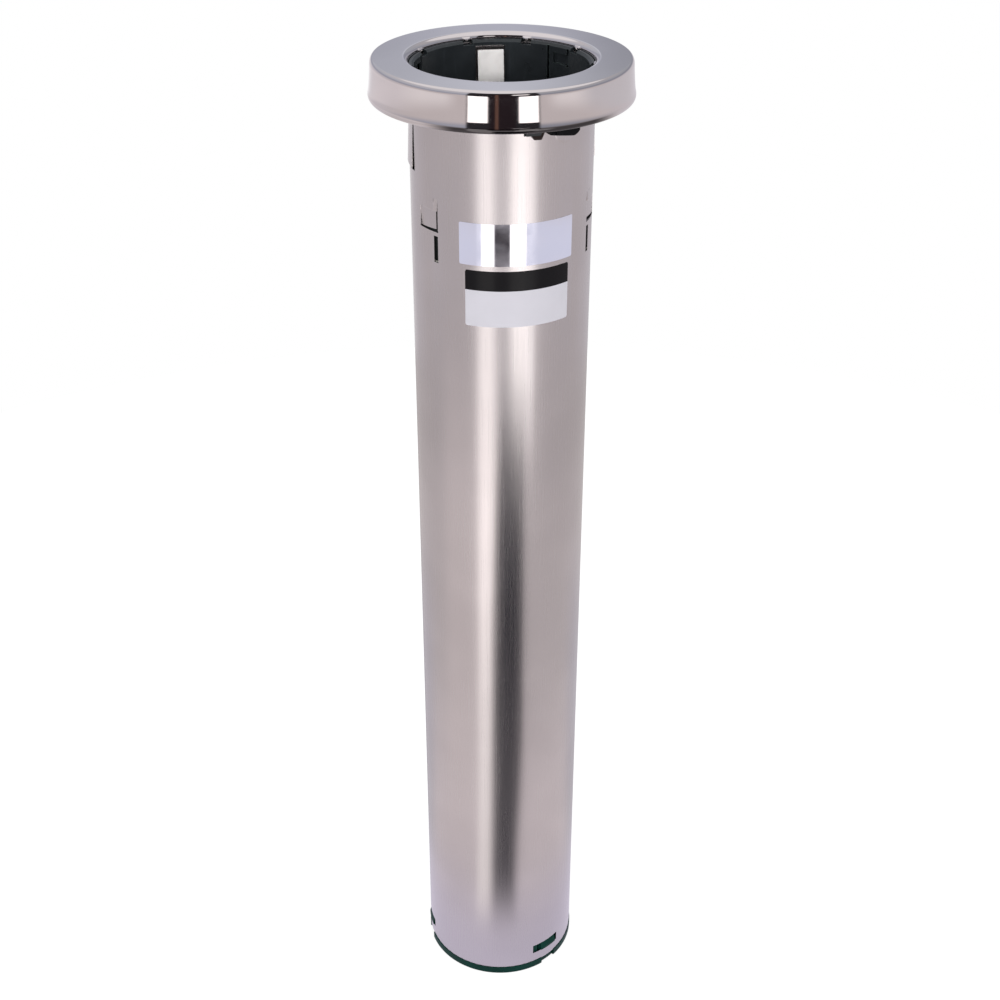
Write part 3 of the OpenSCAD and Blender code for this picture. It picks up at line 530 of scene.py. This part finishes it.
def lift_spring_path(points_per_turn=40, closed_gap=0.6 * MM):
    """The lift spring's centre line: a helix of the coil's radius whose height rises by the wire and a gap in
    the first and in the last turn, and evenly in between. Its ends and radius are the CAD spring's."""
    springs = setting("dispenser_springs")
    low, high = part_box("lift_spring")
    wire, turns = springs.lift_wire, springs.lift_turns
    radius = high.x - wire / 2
    foot, head = low.z + wire / 2, high.z - wire / 2
    closed = wire + closed_gap
    pitch = (head - foot - 2 * closed) / (turns - 2)
    turn = np.linspace(0, turns, turns * points_per_turn + 1)
    z = (foot + closed * np.minimum(turn, 1) + pitch * np.clip(turn - 1, 0, turns - 2)
         + closed * np.maximum(0, turn - turns + 1))
    angle = 2 * np.pi * turn
    return np.stack([radius * np.cos(angle), radius * np.sin(angle), z], 1), wire / 2


def finger_spring_path(side, points_per_turn=28):
    """A finger spring's centre line: a leg that stands in the carrier, a helix round the pin, angle
    pi - 2 pi i for the turn i, and a leg that a quadratic curve turns towards the finger's back. It is laid
    out with x along the pin, y towards the axis and z up, then moved to the pin and turned to its side."""
    play, gap = 0.3 * MM, 0.45 * MM
    leg, bend, tip_y, tip_z = 5.2 * MM, 1.2 * MM, 0.75 * MM, 6.0 * MM
    springs = setting("dispenser_springs")
    low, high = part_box("finger_pin_" + side)
    pin = (low + high) / 2
    wire, turns = springs.finger_wire, springs.finger_turns
    radius = (high.z - low.z) / 2 + play + wire / 2
    pitch = wire + gap
    start = -turns * pitch / 2
    turn = np.linspace(0, turns, turns * points_per_turn + 1)
    angle = np.pi - 2 * np.pi * turn
    coil = np.stack([start + pitch * turn, radius * np.cos(angle), radius * np.sin(angle)], 1)
    drop = np.linspace(-leg, 0, 6, endpoint=False)
    foot = np.stack(np.broadcast_arrays(start, -radius, drop), 1)
    knee, tip = np.array([-start, -radius, bend]), np.array([-start, tip_y, tip_z])
    lean = knee + (tip - knee) * (bend / np.linalg.norm(tip - knee))
    turned_leg = bent(coil[-1], knee, lean, np.linspace(0, 1, 9)[1:, None])
    path = np.concatenate([foot, coil, turned_leg, tip[None, :]]) + (0, -math.hypot(pin.x, pin.y), pin.z)
    azimuth = math.degrees(math.atan2(pin.x, -pin.y))
    return turned_to(path, azimuth), turned_to(np.array([1.0, 0, 0]), azimuth), wire / 2


def ring_section():
    """The ring's section, in radius and height: the lip's foot, a quarter circle into the flat face, an
    ellipse over the outer edge, the skirt, which leans out by lean_top d + (lean_low - lean_top) d^2 / 2h at
    the depth d, an elliptic bead, the toe, and back inside at the sheet's thickness."""
    foot, top = RING_FOOT, TOP_Z
    sheet, lip_h, edge, reach = 1.0 * MM, 5.2 * MM, 3.0 * MM, 1.8 * MM
    skirt_r, skirt_h, bead_out, bead_h = 66.3 * MM, 11.3 * MM, 1.45 * MM, 2.1 * MM
    lean_top, lean_low = math.tan(math.radians(2.5)), math.tan(math.radians(6.0))
    lip = np.array([[LIP_R, top - lip_h], [LIP_R, top - lip_h + 0.2 * MM]])
    mouth = arc((LIP_R + LIP_ROUND, top - LIP_ROUND), LIP_ROUND, LIP_ROUND, 180, 90, 15)
    face = np.array([[LIP_R + LIP_ROUND + 0.3 * MM, top], [skirt_r - reach - 0.3 * MM, top]])
    over_end = math.degrees(math.atan(lean_top * edge / reach))
    over = arc((skirt_r - reach, top - edge), reach, edge, 90, over_end, 17)
    d = np.linspace(0, skirt_h, 13)[1:]
    out = lean_top * d + (lean_low - lean_top) * d ** 2 / (2 * skirt_h)
    skirt = np.stack([skirt_r + out, top - edge - d], 1)
    bead = arc((skirt_r, foot + bead_h), bead_out, bead_h, 25, -90, 15)
    knee = skirt[-1] + (bead[0] - skirt[-1]) * (0.52, 0.5) - (0.10 * MM, 0)
    flare = bent(skirt[-1], knee, bead[0], np.linspace(0, 1, 9)[1:-1, None])
    toe = np.array([[64.4 * MM, foot], [64.2 * MM, foot + 0.2 * MM], [64.2 * MM, foot + 1.2 * MM],
                    [65.1 * MM, foot + 1.3 * MM], [65.1 * MM, top - edge], [63.6 * MM, top - sheet],
                    [50.0 * MM, top - sheet], [48.2 * MM, top - 2.2 * MM], [LIP_R + sheet, top - lip_h]])
    return np.concatenate([lip, mouth, face, over, skirt, flare, bead, toe])


def revolved(name, section, steps):
    """A closed section in radius and height, turned round the upright axis."""
    turn = np.linspace(0, 2 * np.pi, steps, endpoint=False)[None, :]
    return put_grid(name, round_axis(section[:, :1], turn, section[:, 1:]), around=True, along=True)


def lip_lug(name, azimuth, width=5.0 * MM, low=591.4 * MM, high=594.2 * MM, out=0.9 * MM):
    """Soft lug on the lip: for s and t from -1 to 1 it stands in by out (1 - s^4)(1 - t^4) from just inside
    the lip's own wall."""
    s, t = np.meshgrid(np.linspace(-1, 1, 15), np.linspace(-1, 1, 11))
    z = (low + high) / 2 + t * (high - low) / 2
    above = np.maximum(z - (TOP_Z - LIP_ROUND), 0)
    wall = LIP_R + LIP_ROUND - np.sqrt(LIP_ROUND ** 2 - above ** 2)
    radius = wall + 0.05 * MM - out * (1 - s ** 4) * (1 - t ** 4)
    return put_grid(name, round_axis(radius, math.radians(azimuth) + s * width / 2 / LIP_R, z))


def curved_plate(name, outline, top, r_in, r_out, azimuth, columns=25, bevel=0.25 * MM):
    """A plate bent round the upright axis between two radii. Its upper edge is level, and its lower edge runs
    through the outline's points, given as degrees round the axis and height in mm, with a bevel outside."""
    turn, low = np.array(outline).T
    at = np.linspace(turn[0], turn[-1], columns)
    foot = np.interp(at, turn, low) * MM
    a = np.radians(at + azimuth)
    section = [(r_in, foot), (r_out - bevel, foot), (r_out, foot + bevel), (r_out, top), (r_in, top)]
    points = np.stack([round_axis(r, a, z) for r, z in section])
    starts = columns * np.arange(len(section))
    caps = [starts[::-1].tolist(), (starts + columns - 1).tolist()]
    return put_grid(name, points, along=True, caps=caps, smooth=False)


def pressed_bump(name, azimuth, top=567.6 * MM, half_w=6.8 * MM, height=5.2 * MM, out=0.3 * MM):
    """Half-round bump on the tube: for p from 0 to 1 and q from 0 to pi, a point lies p cos q half widths
    across and p sin q heights below the straight upper edge, and stands out by out (1 - p^6) from just inside
    the wall."""
    p = np.sqrt(np.linspace(0, 1, 17))[:, None]
    q = np.linspace(0, np.pi, 33)[None, :]
    radius = TUBE_R - 0.05 * MM + out * (1 - p ** 6)
    turn = math.radians(azimuth) + half_w * p * np.cos(q) / TUBE_R
    return put_grid(name, round_axis(radius, turn, top - height * p * np.sin(q)))


def label_sheet(name, start, end, low, high, columns=96, rows=24, lift=0.03 * MM, corner=0.6 * MM):
    """A film bent round the tube, lifted off its wall: for s and t from -1 to 1, a point lies s half widths
    across and sign(t) |t|^0.7 half heights up, so that the rows crowd at both edges. A quarter circle of the
    corner's radius draws the rows in at the corners."""
    half_w = math.radians(end - start) / 2 * TUBE_R
    half_h = (high - low) / 2
    t = np.linspace(-1, 1, rows)[:, None]
    up = np.sign(t) * np.abs(t) ** 0.7 * half_h
    over = np.clip(np.abs(up) - (half_h - corner), 0, corner)
    inset = corner - np.sqrt(np.maximum(corner ** 2 - over ** 2, 0))
    across = np.linspace(-1, 1, columns)[None, :] * (half_w - inset)
    turn = math.radians((start + end) / 2) + across / TUBE_R
    return put_grid(name, round_axis(TUBE_R + lift, turn, (low + high) / 2 + up))


# Operators, one for each piece or group of like pieces


def coat_nodes(coats):
    """Puts each finish in every material slot of its CAD node."""
    for node, coat in coats.items():
        for slot in NODES[node].material_slots:
            slot.material = coat
        if not NODES[node].material_slots:
            raise RuntimeError(node + " has no material slot")


def ride_as(made, coat, body="housing", replaced=None):
    """The piece gets its finish and rides on the body, and a CAD node that it replaces is hidden."""
    made.data.materials.append(coat)
    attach(made, body)
    if replaced:
        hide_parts(replaced)


class DISPENSER_OT_metals(bpy.types.Operator):
    """Give the tube, the fingers, the pins, the screws and the spring's seat their metal finishes"""

    bl_idname = "dispenser.metals"
    bl_label = "Metal finishes"

    def execute(self, context):
        coats = {"tube": satin_tube(),
                 "spring_seat": plated_steel("plated seat", (0.58, 0.58, 0.56)),
                 "pusher_screws": plated_steel("plated screws", (0.60, 0.59, 0.55))}
        # The fingers' steel is painted whiter and brighter, with little metal and a tone of 1.55: a painted
        # sheen for the light the leaves mirror
        blade = spring_steel("bright finger", (0.30, 0.40), 1.55, (900.0, 900.0, 40.0), 0.15)
        pin = spring_steel("ground pin", (0.16, 0.26), 1.0, (60.0, 2400.0, 2400.0))
        for side in SIDES:
            coats["finger_" + side] = blade
            coats["finger_pin_" + side] = pin
        coat_nodes(coats)
        return {"FINISHED"}


class DISPENSER_OT_mouldings(bpy.types.Operator):
    """Give the liner, the core, the cap, the pusher, the glide and the carriers their plastic finishes"""

    bl_idname = "dispenser.mouldings"
    bl_label = "Moulded finishes"

    def execute(self, context):
        finish = setting("dispenser_finish")
        black = moulding("black carrier", finish.black, (0.30, 0.42))
        coats = {
            "collar": moulding("green liner", finish.liner, (0.26, 0.40), (0.09, 0.12, 0.115), 2.2,
                               depth=0.015 * MM),
            # The core's finish is a shaded copy of the black moulding, with less pale edges and low gloss:
            # painted shade for the feet under the ring
            "flange_core": moulding("black core", finish.black, (0.40, 0.54), (0.03, 0.03, 0.032),
                                    worn_share=0.2, specular=0.06),
            "foot_cap": moulding("green cap", finish.cap, (0.34, 0.46), (0.004, 0.05, 0.038), 1.2,
                                 specular=0.08),
            "pusher_plate": moulding("pusher plate", (0.016, 0.020, 0.020), (0.34, 0.46)),
            "pusher_body": moulding("pusher body", (0.014, 0.017, 0.017), (0.38, 0.52)),
            "glide_band": moulding("glide band", finish.natural, (0.40, 0.5), (0.80, 0.78, 0.72), 1.0),
        }
        for side in SIDES:
            coats["carrier_" + side] = black
        coat_nodes(coats)
        return {"FINISHED"}


class DISPENSER_OT_lift_spring(bpy.types.Operator):
    """Wind the lift spring that the pusher stands on"""

    bl_idname = "dispenser.lift_spring"
    bl_label = "Lift spring"

    def execute(self, context):
        path, radius = lift_spring_path()
        spring = wire_along("lift_spring_wire", path, (0, 0, 1), radius)
        coat = spring_steel("lift spring wire", (0.26, 0.38), 0.72, (300.0, 300.0, 900.0))
        ride_as(spring, coat, "housing", "lift_spring")
        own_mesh(spring)
        return {"FINISHED"}


class DISPENSER_OT_finger_springs(bpy.types.Operator):
    """Wind the three small springs that press the fingers inwards"""

    bl_idname = "dispenser.finger_springs"
    bl_label = "Finger springs"

    def execute(self, context):
        coat = spring_steel("finger spring wire", (0.22, 0.34), 0.85, (600.0, 600.0, 600.0))
        for side in SIDES:
            path, axis, radius = finger_spring_path(side)
            spring = wire_along("finger_spring_%s_wire" % side, path, axis, radius, 12)
            ride_as(spring, coat, "finger_%s_body" % side, "finger_spring_" + side)
        return {"FINISHED"}


class DISPENSER_OT_trim_ring(bpy.types.Operator):
    """Turn the trim ring as one smooth surface, with its nine lugs"""

    bl_idname = "dispenser.trim_ring"
    bl_label = "Trim ring"

    def execute(self, context):
        coat = polished_ring()
        first, lugs = 31.5, 9
        ride_as(revolved("trim_ring_sheet", ring_section(), 288), coat, replaced="trim_ring")
        for number in range(lugs):
            ride_as(lip_lug("trim_ring_lug_%d" % (number + 1), first + 360 / lugs * number), coat)
        return {"FINISHED"}


class DISPENSER_OT_tabs(bpy.types.Operator):
    """Finish the lower ends of the core's latch feet and of the collar's hooks"""

    bl_idname = "dispenser.tabs"
    bl_label = "Feet and hooks"

    def execute(self, context):
        black = NODES["flange_core"].material_slots[0].material
        # The hooks' finish is dulled the same way, with faint pale edges and low gloss: painted shade for
        # where they lie under the ring
        brown = moulding("hook brown", (0.020, 0.012, 0.011), (0.34, 0.46), rub_tone=1.3, worn_share=0.3,
                         specular=0.12)
        # Name, lower edge as in curved_plate, height of the upper edge and outer radius in mm, finish
        plates = (
            ("latch_foot", ((15.5, 569.1), (32.0, 566.5), (34.5, 567.2), (36.1, 568.3)), 575.0, 51.5, black),
            ("collar_hook", ((4.0, 570.6), (6.4, 567.2), (10.9, 567.0), (12.6, 570.2)), 571.0, 49.9, brown))
        for third in range(3):
            for name, outline, top, reach, coat in plates:
                ride_as(curved_plate("%s_end_%d" % (name, third + 1), outline, top * MM, TUBE_R - 0.2 * MM,
                                     reach * MM, 120.0 * third), coat)
        return {"FINISHED"}


class DISPENSER_OT_pressings(bpy.types.Operator):
    """Raise the half-round bumps that the tube's wall has under the latch feet"""

    bl_idname = "dispenser.pressings"
    bl_label = "Pressed bumps"

    def execute(self, context):
        coat = NODES["tube"].material_slots[0].material
        for name, azimuth in (("tube_bump_front", 29.5), ("tube_bump_rear", 149.5)):
            ride_as(pressed_bump(name, azimuth), coat)
        return {"FINISHED"}


class DISPENSER_OT_labels(bpy.types.Operator):
    """Lay the two blank labels on the front of the tube"""

    bl_idname = "dispenser.labels"
    bl_label = "Blank labels"

    def execute(self, context):
        labels = setting("dispenser_labels")
        band_height = 10.7 * MM
        upper_top, lower_top = TOP_Z - labels.upper_top, TOP_Z - labels.lower_top
        # Name, turn of both ends in degrees, height of both edges, finish
        sheets = (
            ("label_upper", -38.7, 36.7, upper_top - labels.upper_height, upper_top,
             label_film("upper film")),
            ("label_lower", -34.9, 33.8, lower_top - labels.lower_height, lower_top,
             label_film("lower film", lower_top - band_height)),
        )
        for *shape, coat in sheets:
            ride_as(label_sheet(*shape), coat)
        return {"FINISHED"}


class DISPENSER_OT_stage(bpy.types.Operator):
    """Set up the pale floor, the softboxes, the surroundings and the camera"""

    bl_idname = "dispenser.stage"
    bl_label = "Studio"

    def execute(self, context):
        scene = context.scene
        scene.view_settings.view_transform = "Standard"
        lay_floor()
        hang_surroundings(scene)
        place_softboxes()
        place_camera(scene)
        return {"FINISHED"}


# The stage, with directions in degrees from the camera's side


def azimuth_from_camera(graph, x, y):
    """Degrees round the upright axis from the camera's side, right positive, from -180 to 180."""
    degrees = graph.math("SUBTRACT", graph.times(graph.turn(x, y), 180 / math.pi), CAMERA_AZIMUTH)
    return graph.math("WRAP", degrees, 180.0, -180.0)


def lay_floor():
    """A round pale floor under the foot, a flat disc of rings and spokes. The camera sees it white with the
    object's shadow."""
    rings, spokes = 12, 96
    radii = np.linspace(0.0, 1.0, rings)[:, None] ** 1.5 * setting("dispenser_studio").floor_radius
    radii[0] = 1.0 * MM
    turn = np.linspace(0, 2 * np.pi, spokes, endpoint=False)[None, :]
    points = np.stack(np.broadcast_arrays(radii * np.cos(turn), radii * np.sin(turn), 0.0), -1)
    floor = put_grid("floor", points, around=True)
    made = bpy.data.materials.new("pale floor")
    made.use_nodes = True
    graph = Graph(made.node_tree)
    made.node_tree.nodes.remove(made.node_tree.nodes["Principled BSDF"])
    mirror = graph.add("ShaderNodeEmission", {"Color": mirrored_floor(graph), "Strength": 1.0}).outputs[0]
    matt = graph.add("ShaderNodeBsdfDiffuse", {"Color": (0.80, 0.80, 0.80)}).outputs[0]
    shade = graph.add("ShaderNodeBsdfDiffuse", {"Color": (0.30, 0.30, 0.30)}).outputs[0]
    glow = graph.add("ShaderNodeEmission", {"Color": (0.80, 0.80, 0.80)}).outputs[0]
    seen = graph.add("ShaderNodeAddShader", {0: shade, 1: glow}).outputs[0]
    ray = graph.add("ShaderNodeLightPath").outputs
    other = graph.add("ShaderNodeMixShader", {0: ray["Is Glossy Ray"], 1: matt, 2: mirror}).outputs[0]
    whole = graph.add("ShaderNodeMixShader", {0: ray["Is Camera Ray"], 1: other, 2: seen}).outputs[0]
    graph.give(made.node_tree.nodes["Material Output"], {"Surface": whole})
    floor.data.materials.append(made)


def mirrored_floor(graph):
    """The floor as polished steel sees it in the studio: lit by the left softbox in one wedge, dark in the
    next, where the gap between the softboxes is mirrored, and lilac close to the foot."""
    x, y, z = graph.split(graph.add("ShaderNodeTexCoord").outputs["Object"])
    radius, azimuth = graph.off_axis(x, y), azimuth_from_camera(graph, x, y)

    def past(start, end, low=0.0, high=1.0):
        """From low to high between two radii."""
        return graph.step(radius, start, end, low, high)

    # Painted light on the floor as steel mirrors it: the plain floor, paler towards its middle, a lilac tone
    # behind and close to the foot, and a paler left side where the left softbox lights it
    tone = graph.blend(past(0.45, 0.95), (0.78, 0.73, 0.735), (0.66, 0.62, 0.62))
    tone = graph.blend(past(0.14, 0.40), (0.90, 0.83, 0.85), tone)
    behind = graph.step(graph.math("ABSOLUTE", azimuth), 95.0, 130.0)
    tone = graph.lay(tone, (0.68, 0.655, 0.71), behind, past(0.35, 0.60, 1.0, 0.0))
    tone = graph.blend(past(0.06, 0.16), (0.80, 0.76, 0.90), tone)
    beside = graph.span(azimuth, -80.0, -31.0, 12.0)
    tone = graph.lay(tone, (1.02, 0.93, 0.92), beside, past(0.10, 0.30), 0.5)
    # How far off both edges of the dark wedge, which get sharper outwards
    soft = past(0.15, 0.40, 6.0, 1.5)
    left_edge = graph.math("MAXIMUM", graph.math("ADD", graph.times(radius, 17.0), -18.6), -11.0)
    right_edge = past(0.10, 0.30, 19.0, 30.5)
    off_left, off_right = (graph.math("DIVIDE", graph.math("SUBTRACT", azimuth, edge), soft)
                           for edge in (left_edge, right_edge))
    # The lit wedge, the glare at the rim, and the dark wedge
    near = past(0.08, 0.14)
    lamp = graph.blend(past(0.18, 0.52), (1.38, 1.32, 1.30), (1.98, 1.88, 1.84))
    lit = graph.step(azimuth, -33.0, -27.0)
    tone = graph.lay(tone, lamp, lit, graph.step(off_left, -1.0, 1.0, 1.0, 0.0), near)
    tone = graph.lay(tone, (3.1, 3.0, 2.95), graph.span(azimuth, 14.0, 42.0, 4.0), past(0.84, 0.90))
    tone = graph.lay(tone, (1.70, 1.64, 1.65), graph.span(azimuth, -8.0, 14.0, 4.0), past(0.85, 0.91))
    unlit = graph.blend(past(0.30, 0.50), (0.10, 0.095, 0.105), (0.02, 0.02, 0.03))
    return graph.lay(tone, unlit, graph.step(off_left, -1.0, 1.0), graph.step(off_right, -1.0, 1.0, 1.0, 0.0),
                     near, past(0.85, 0.91, 1.0, 0.0))


def hang_surroundings(scene):
    """The studio round the object. The camera sees white, matt surfaces get an even fill, and polished ones
    mirror what stands in the studio."""
    world = bpy.data.worlds.new("studio")
    scene.world = world
    world.use_nodes = True
    graph = Graph(world.node_tree)
    world.node_tree.nodes.remove(world.node_tree.nodes["Background"])
    ray = graph.add("ShaderNodeLightPath").outputs
    fill = [setting("dispenser_studio").fill] * 3
    seen = graph.blend(ray["Is Glossy Ray"], fill, mirrored_studio(graph))
    plain = graph.math("MAXIMUM", ray["Is Camera Ray"], ray["Is Transmission Ray"])
    seen = graph.blend(plain, seen, (1.0, 1.0, 1.0))
    light = graph.add("ShaderNodeBackground", {"Color": seen, "Strength": 1.0}).outputs[0]
    graph.give(world.node_tree.nodes["World Output"], {"Surface": light})


def mirrored_studio(graph):
    """What polished steel sees in the studio: two low softboxes with a dark gap between them and dark cloth
    over them, a bright ceiling, a small reflector card, pinkish side walls and a lilac backdrop, bright
    at its foot."""
    x, y, z = graph.split(graph.add("ShaderNodeTexCoord").outputs["Generated"])
    azimuth = azimuth_from_camera(graph, x, y)
    rise = graph.times(graph.math("ARCSINE", z), 180 / math.pi)
    wide = graph.math("ABSOLUTE", azimuth)
    softbox = setting("dispenser_studio").softbox

    def patch(turn_span, rise_span):
        """1 on a patch, from two spans as low, high and soft."""
        return graph.times(graph.span(azimuth, *turn_span), graph.span(rise, *rise_span))

    # Side walls and backdrop, and above them the sky, which is brightest straight behind
    wall = graph.blend(graph.step(wide, 70.0, 150.0), (0.70, 0.645, 0.64), (0.72, 0.69, 0.73))
    wall = graph.lay(wall, (0.98, 0.96, 0.98), graph.step(azimuth, -142.0, -172.0))
    sky = graph.blend(graph.step(rise, 12.5, 17.5), (0.54, 0.56, 0.655), (0.70, 0.735, 0.81))
    sky = graph.lay(sky, (0.85, 0.84, 0.88), graph.step(rise, 20.0, 36.0))
    away = [graph.combine(share, share, share)
            for share in (graph.step(azimuth, -180.0, -174.5, 1.0, 0.80),
                          graph.step(azimuth, 180.0, 174.5, 1.0, 0.62))]
    sky = graph.blend(1.0, sky, graph.blend(graph.step(azimuth, -1.0, 1.0), *away), "MULTIPLY")
    around = graph.blend(graph.step(rise, -4.0, 8.0), wall, sky)
    # Low screens beside the softboxes
    screen = graph.blend(graph.step(azimuth, 60.0, 88.0), (0.95, 0.90, 0.90), (0.70, 0.68, 0.71))
    screen = graph.lay(screen, (0.84, 0.79, 0.81), graph.step(azimuth, -70.0, -105.0))
    around = graph.lay(around, screen, graph.step(wide, 34.0, 52.0), graph.span(rise, -13.5, -9.0, 2.0),
                       graph.step(wide, 165.0, 140.0))
    # Cloth over the softboxes, the lit floor and the dark gap between them, and a brown lamp stand
    around = graph.lay(around, (0.03, 0.028, 0.032), patch((-29.5, 32.0, 1.5), (-12.0, 38.0, 2.0)))
    between = graph.span(azimuth, -10.0, 12.0, 1.5)
    around = graph.lay(around, (1.25, 1.20, 1.22), between, graph.step(rise, -12.5, -13.5))
    gap = graph.math("MAXIMUM", graph.span(rise, -13.0, 38.0, 0.6), graph.span(rise, -22.3, -19.9, 0.4))
    around = graph.lay(around, (0.022, 0.015, 0.018), between, gap)
    around = graph.lay(around, (0.15, 0.08, 0.06), patch((-5.5, -2.7, 0.7), (-12.4, 20.0, 0.6)))
    # The softboxes' faces, and under each its own brightness further down
    lamp, dimmed, strong = ([softbox * part for part in shares] for shares in (
        (1.0, 0.97, 0.95), (0.84, 0.81, 0.80), (1.2, 1.17, 1.15)))
    boxes = [patch(turn_span, (-13.0, -3.2, 0.8)) for turn_span in ((-28.4, -11.7, 1.0), (14.3, 30.8, 1.0))]
    around = graph.lay(around, lamp, graph.math("MAXIMUM", *boxes))
    low = graph.step(rise, -22.5, -24.5)
    around = graph.lay(around, graph.blend(low, dimmed, lamp), patch((-31.0, -9.0, 1.5), (-60.0, -13.0, 0.8)))
    around = graph.lay(around, graph.blend(low, lamp, strong), graph.step(azimuth, 9.5, 12.5),
                       graph.step(azimuth, 38.0, 50.0, 1.0, 0.0), graph.span(rise, -60.0, -13.0, 0.8))
    # A narrow lilac band at both sides, the ceiling and the reflector card
    sides = [graph.span(azimuth, *turn_span) for turn_span in ((-100.0, -25.5, 1.0), (31.0, 100.0, 1.0))]
    around = graph.lay(around, (0.78, 0.79, 0.90), graph.span(rise, -22.3, -19.9, 0.4),
                       graph.math("MAXIMUM", *sides))
    around = graph.lay(around, (0.98, 0.97, 0.98), graph.step(rise, 38.0, 44.0))
    return graph.lay(around, (1.15, 1.11, 1.10), patch((9.0, 23.0, 1.5), (11.0, 22.0, 1.5)))


def place_softboxes():
    """Two large softboxes beside the camera and a weak one above, aimed at the object's middle."""
    power, beside, distance, middle = setting("dispenser_studio").key, 42, 1.7, (0, 0, 0.3)
    for name, azimuth, rise, share, size in (
            ("softbox_left", CAMERA_AZIMUTH - beside, 28, 1.0, 0.9),
            ("softbox_right", CAMERA_AZIMUTH + beside, 28, 1.0, 0.9),
            ("softbox_top", CAMERA_AZIMUTH, 80, 0.8, 1.1)):
        lamp = bpy.data.lights.new(name, "AREA")
        lamp.shape, lamp.size, lamp.energy = "SQUARE", size, power * share
        holder = bpy.data.objects.new(name, lamp)
        a, e = math.radians(azimuth), math.radians(rise)
        away = np.array([math.sin(a) * math.cos(e), -math.cos(a) * math.cos(e), math.sin(e)])
        holder.matrix_world = aimed(away * distance + middle, -away)
        holder.visible_glossy = False
        bpy.context.scene.collection.objects.link(holder)


def aimed(position, forward):
    """A pose at that position whose own -Z looks forward and whose Y is as upright as it can be."""
    forward = np.asarray(forward, float) / np.linalg.norm(forward)
    right = np.cross(forward, (0.0, 0.0, 1.0))
    right /= np.linalg.norm(right)
    return posed(position, right, np.cross(right, forward), forward)


def posed(position, right, up, forward):
    """A pose at that position whose own X, Y and -Z are the directions right, up and forward."""
    made = Matrix.Identity(4)
    for row in range(3):
        made[row][0], made[row][1] = right[row], up[row]
        made[row][2], made[row][3] = -forward[row], position[row]
    return made


def place_camera(scene):
    """The photograph's camera: its place in metres, and in radians how far it looks down and is rolled."""
    far, height, aside, down, roll = 0.7783, 0.7954, -0.00054, 0.53097, 0.0017
    lens = bpy.data.cameras.new("camera")
    lens.sensor_width, lens.lens = 36.0, 55.70
    lens.clip_start, lens.clip_end = 0.05, 20.0
    camera = bpy.data.objects.new("camera", lens)
    a = math.radians(CAMERA_AZIMUTH)
    right = np.array([math.cos(a), math.sin(a), 0.0])
    forward = np.array([-math.sin(a) * math.cos(down), math.cos(a) * math.cos(down), -math.sin(down)])
    up = np.cross(right, forward)
    position = np.array([far * math.sin(a), -far * math.cos(a), height]) + right * aside
    tilted = math.cos(roll) * right + math.sin(roll) * up
    raised = math.cos(roll) * up - math.sin(roll) * right
    camera.matrix_world = posed(position, tilted, raised, forward)
    scene.collection.objects.link(camera)
    scene.camera = camera


class DISPENSER_PT_sidebar(bpy.types.Panel):
    """Lists the dispenser's operators and values"""

    bl_label = "Cup dispenser"
    bl_idname = "DISPENSER_PT_sidebar"
    bl_space_type = "VIEW_3D"
    bl_region_type = "UI"
    bl_category = "Dispenser"

    def draw(self, context):
        for group in GROUPS:
            values = setting(group)
            box = self.layout.box()
            for value in values.__annotations__:
                box.prop(values, value)
        for operator in OPERATORS:
            self.layout.operator(operator.bl_idname)


OPERATORS = (DISPENSER_OT_metals, DISPENSER_OT_mouldings, DISPENSER_OT_trim_ring, DISPENSER_OT_tabs,
             DISPENSER_OT_lift_spring, DISPENSER_OT_finger_springs, DISPENSER_OT_pressings,
             DISPENSER_OT_labels, DISPENSER_OT_stage)


def register():
    for kind in (*GROUPS.values(), *OPERATORS, DISPENSER_PT_sidebar):
        bpy.utils.register_class(kind)
    for name, kind in GROUPS.items():
        setattr(bpy.types.Scene, name, bpy.props.PointerProperty(type=kind))


def unregister():
    for name in GROUPS:
        delattr(bpy.types.Scene, name)
    for kind in (DISPENSER_PT_sidebar, *reversed(OPERATORS), *reversed(list(GROUPS.values()))):
        bpy.utils.unregister_class(kind)


def main():
    register()
    bpy.ops.dispenser.metals()
    bpy.ops.dispenser.mouldings()
    bpy.ops.dispenser.trim_ring()
    bpy.ops.dispenser.tabs()
    bpy.ops.dispenser.lift_spring()
    bpy.ops.dispenser.finger_springs()
    bpy.ops.dispenser.pressings()
    bpy.ops.dispenser.labels()
    bpy.ops.dispenser.stage()
    bpy.context.view_layer.update()


if __name__ == "__main__":
    main()
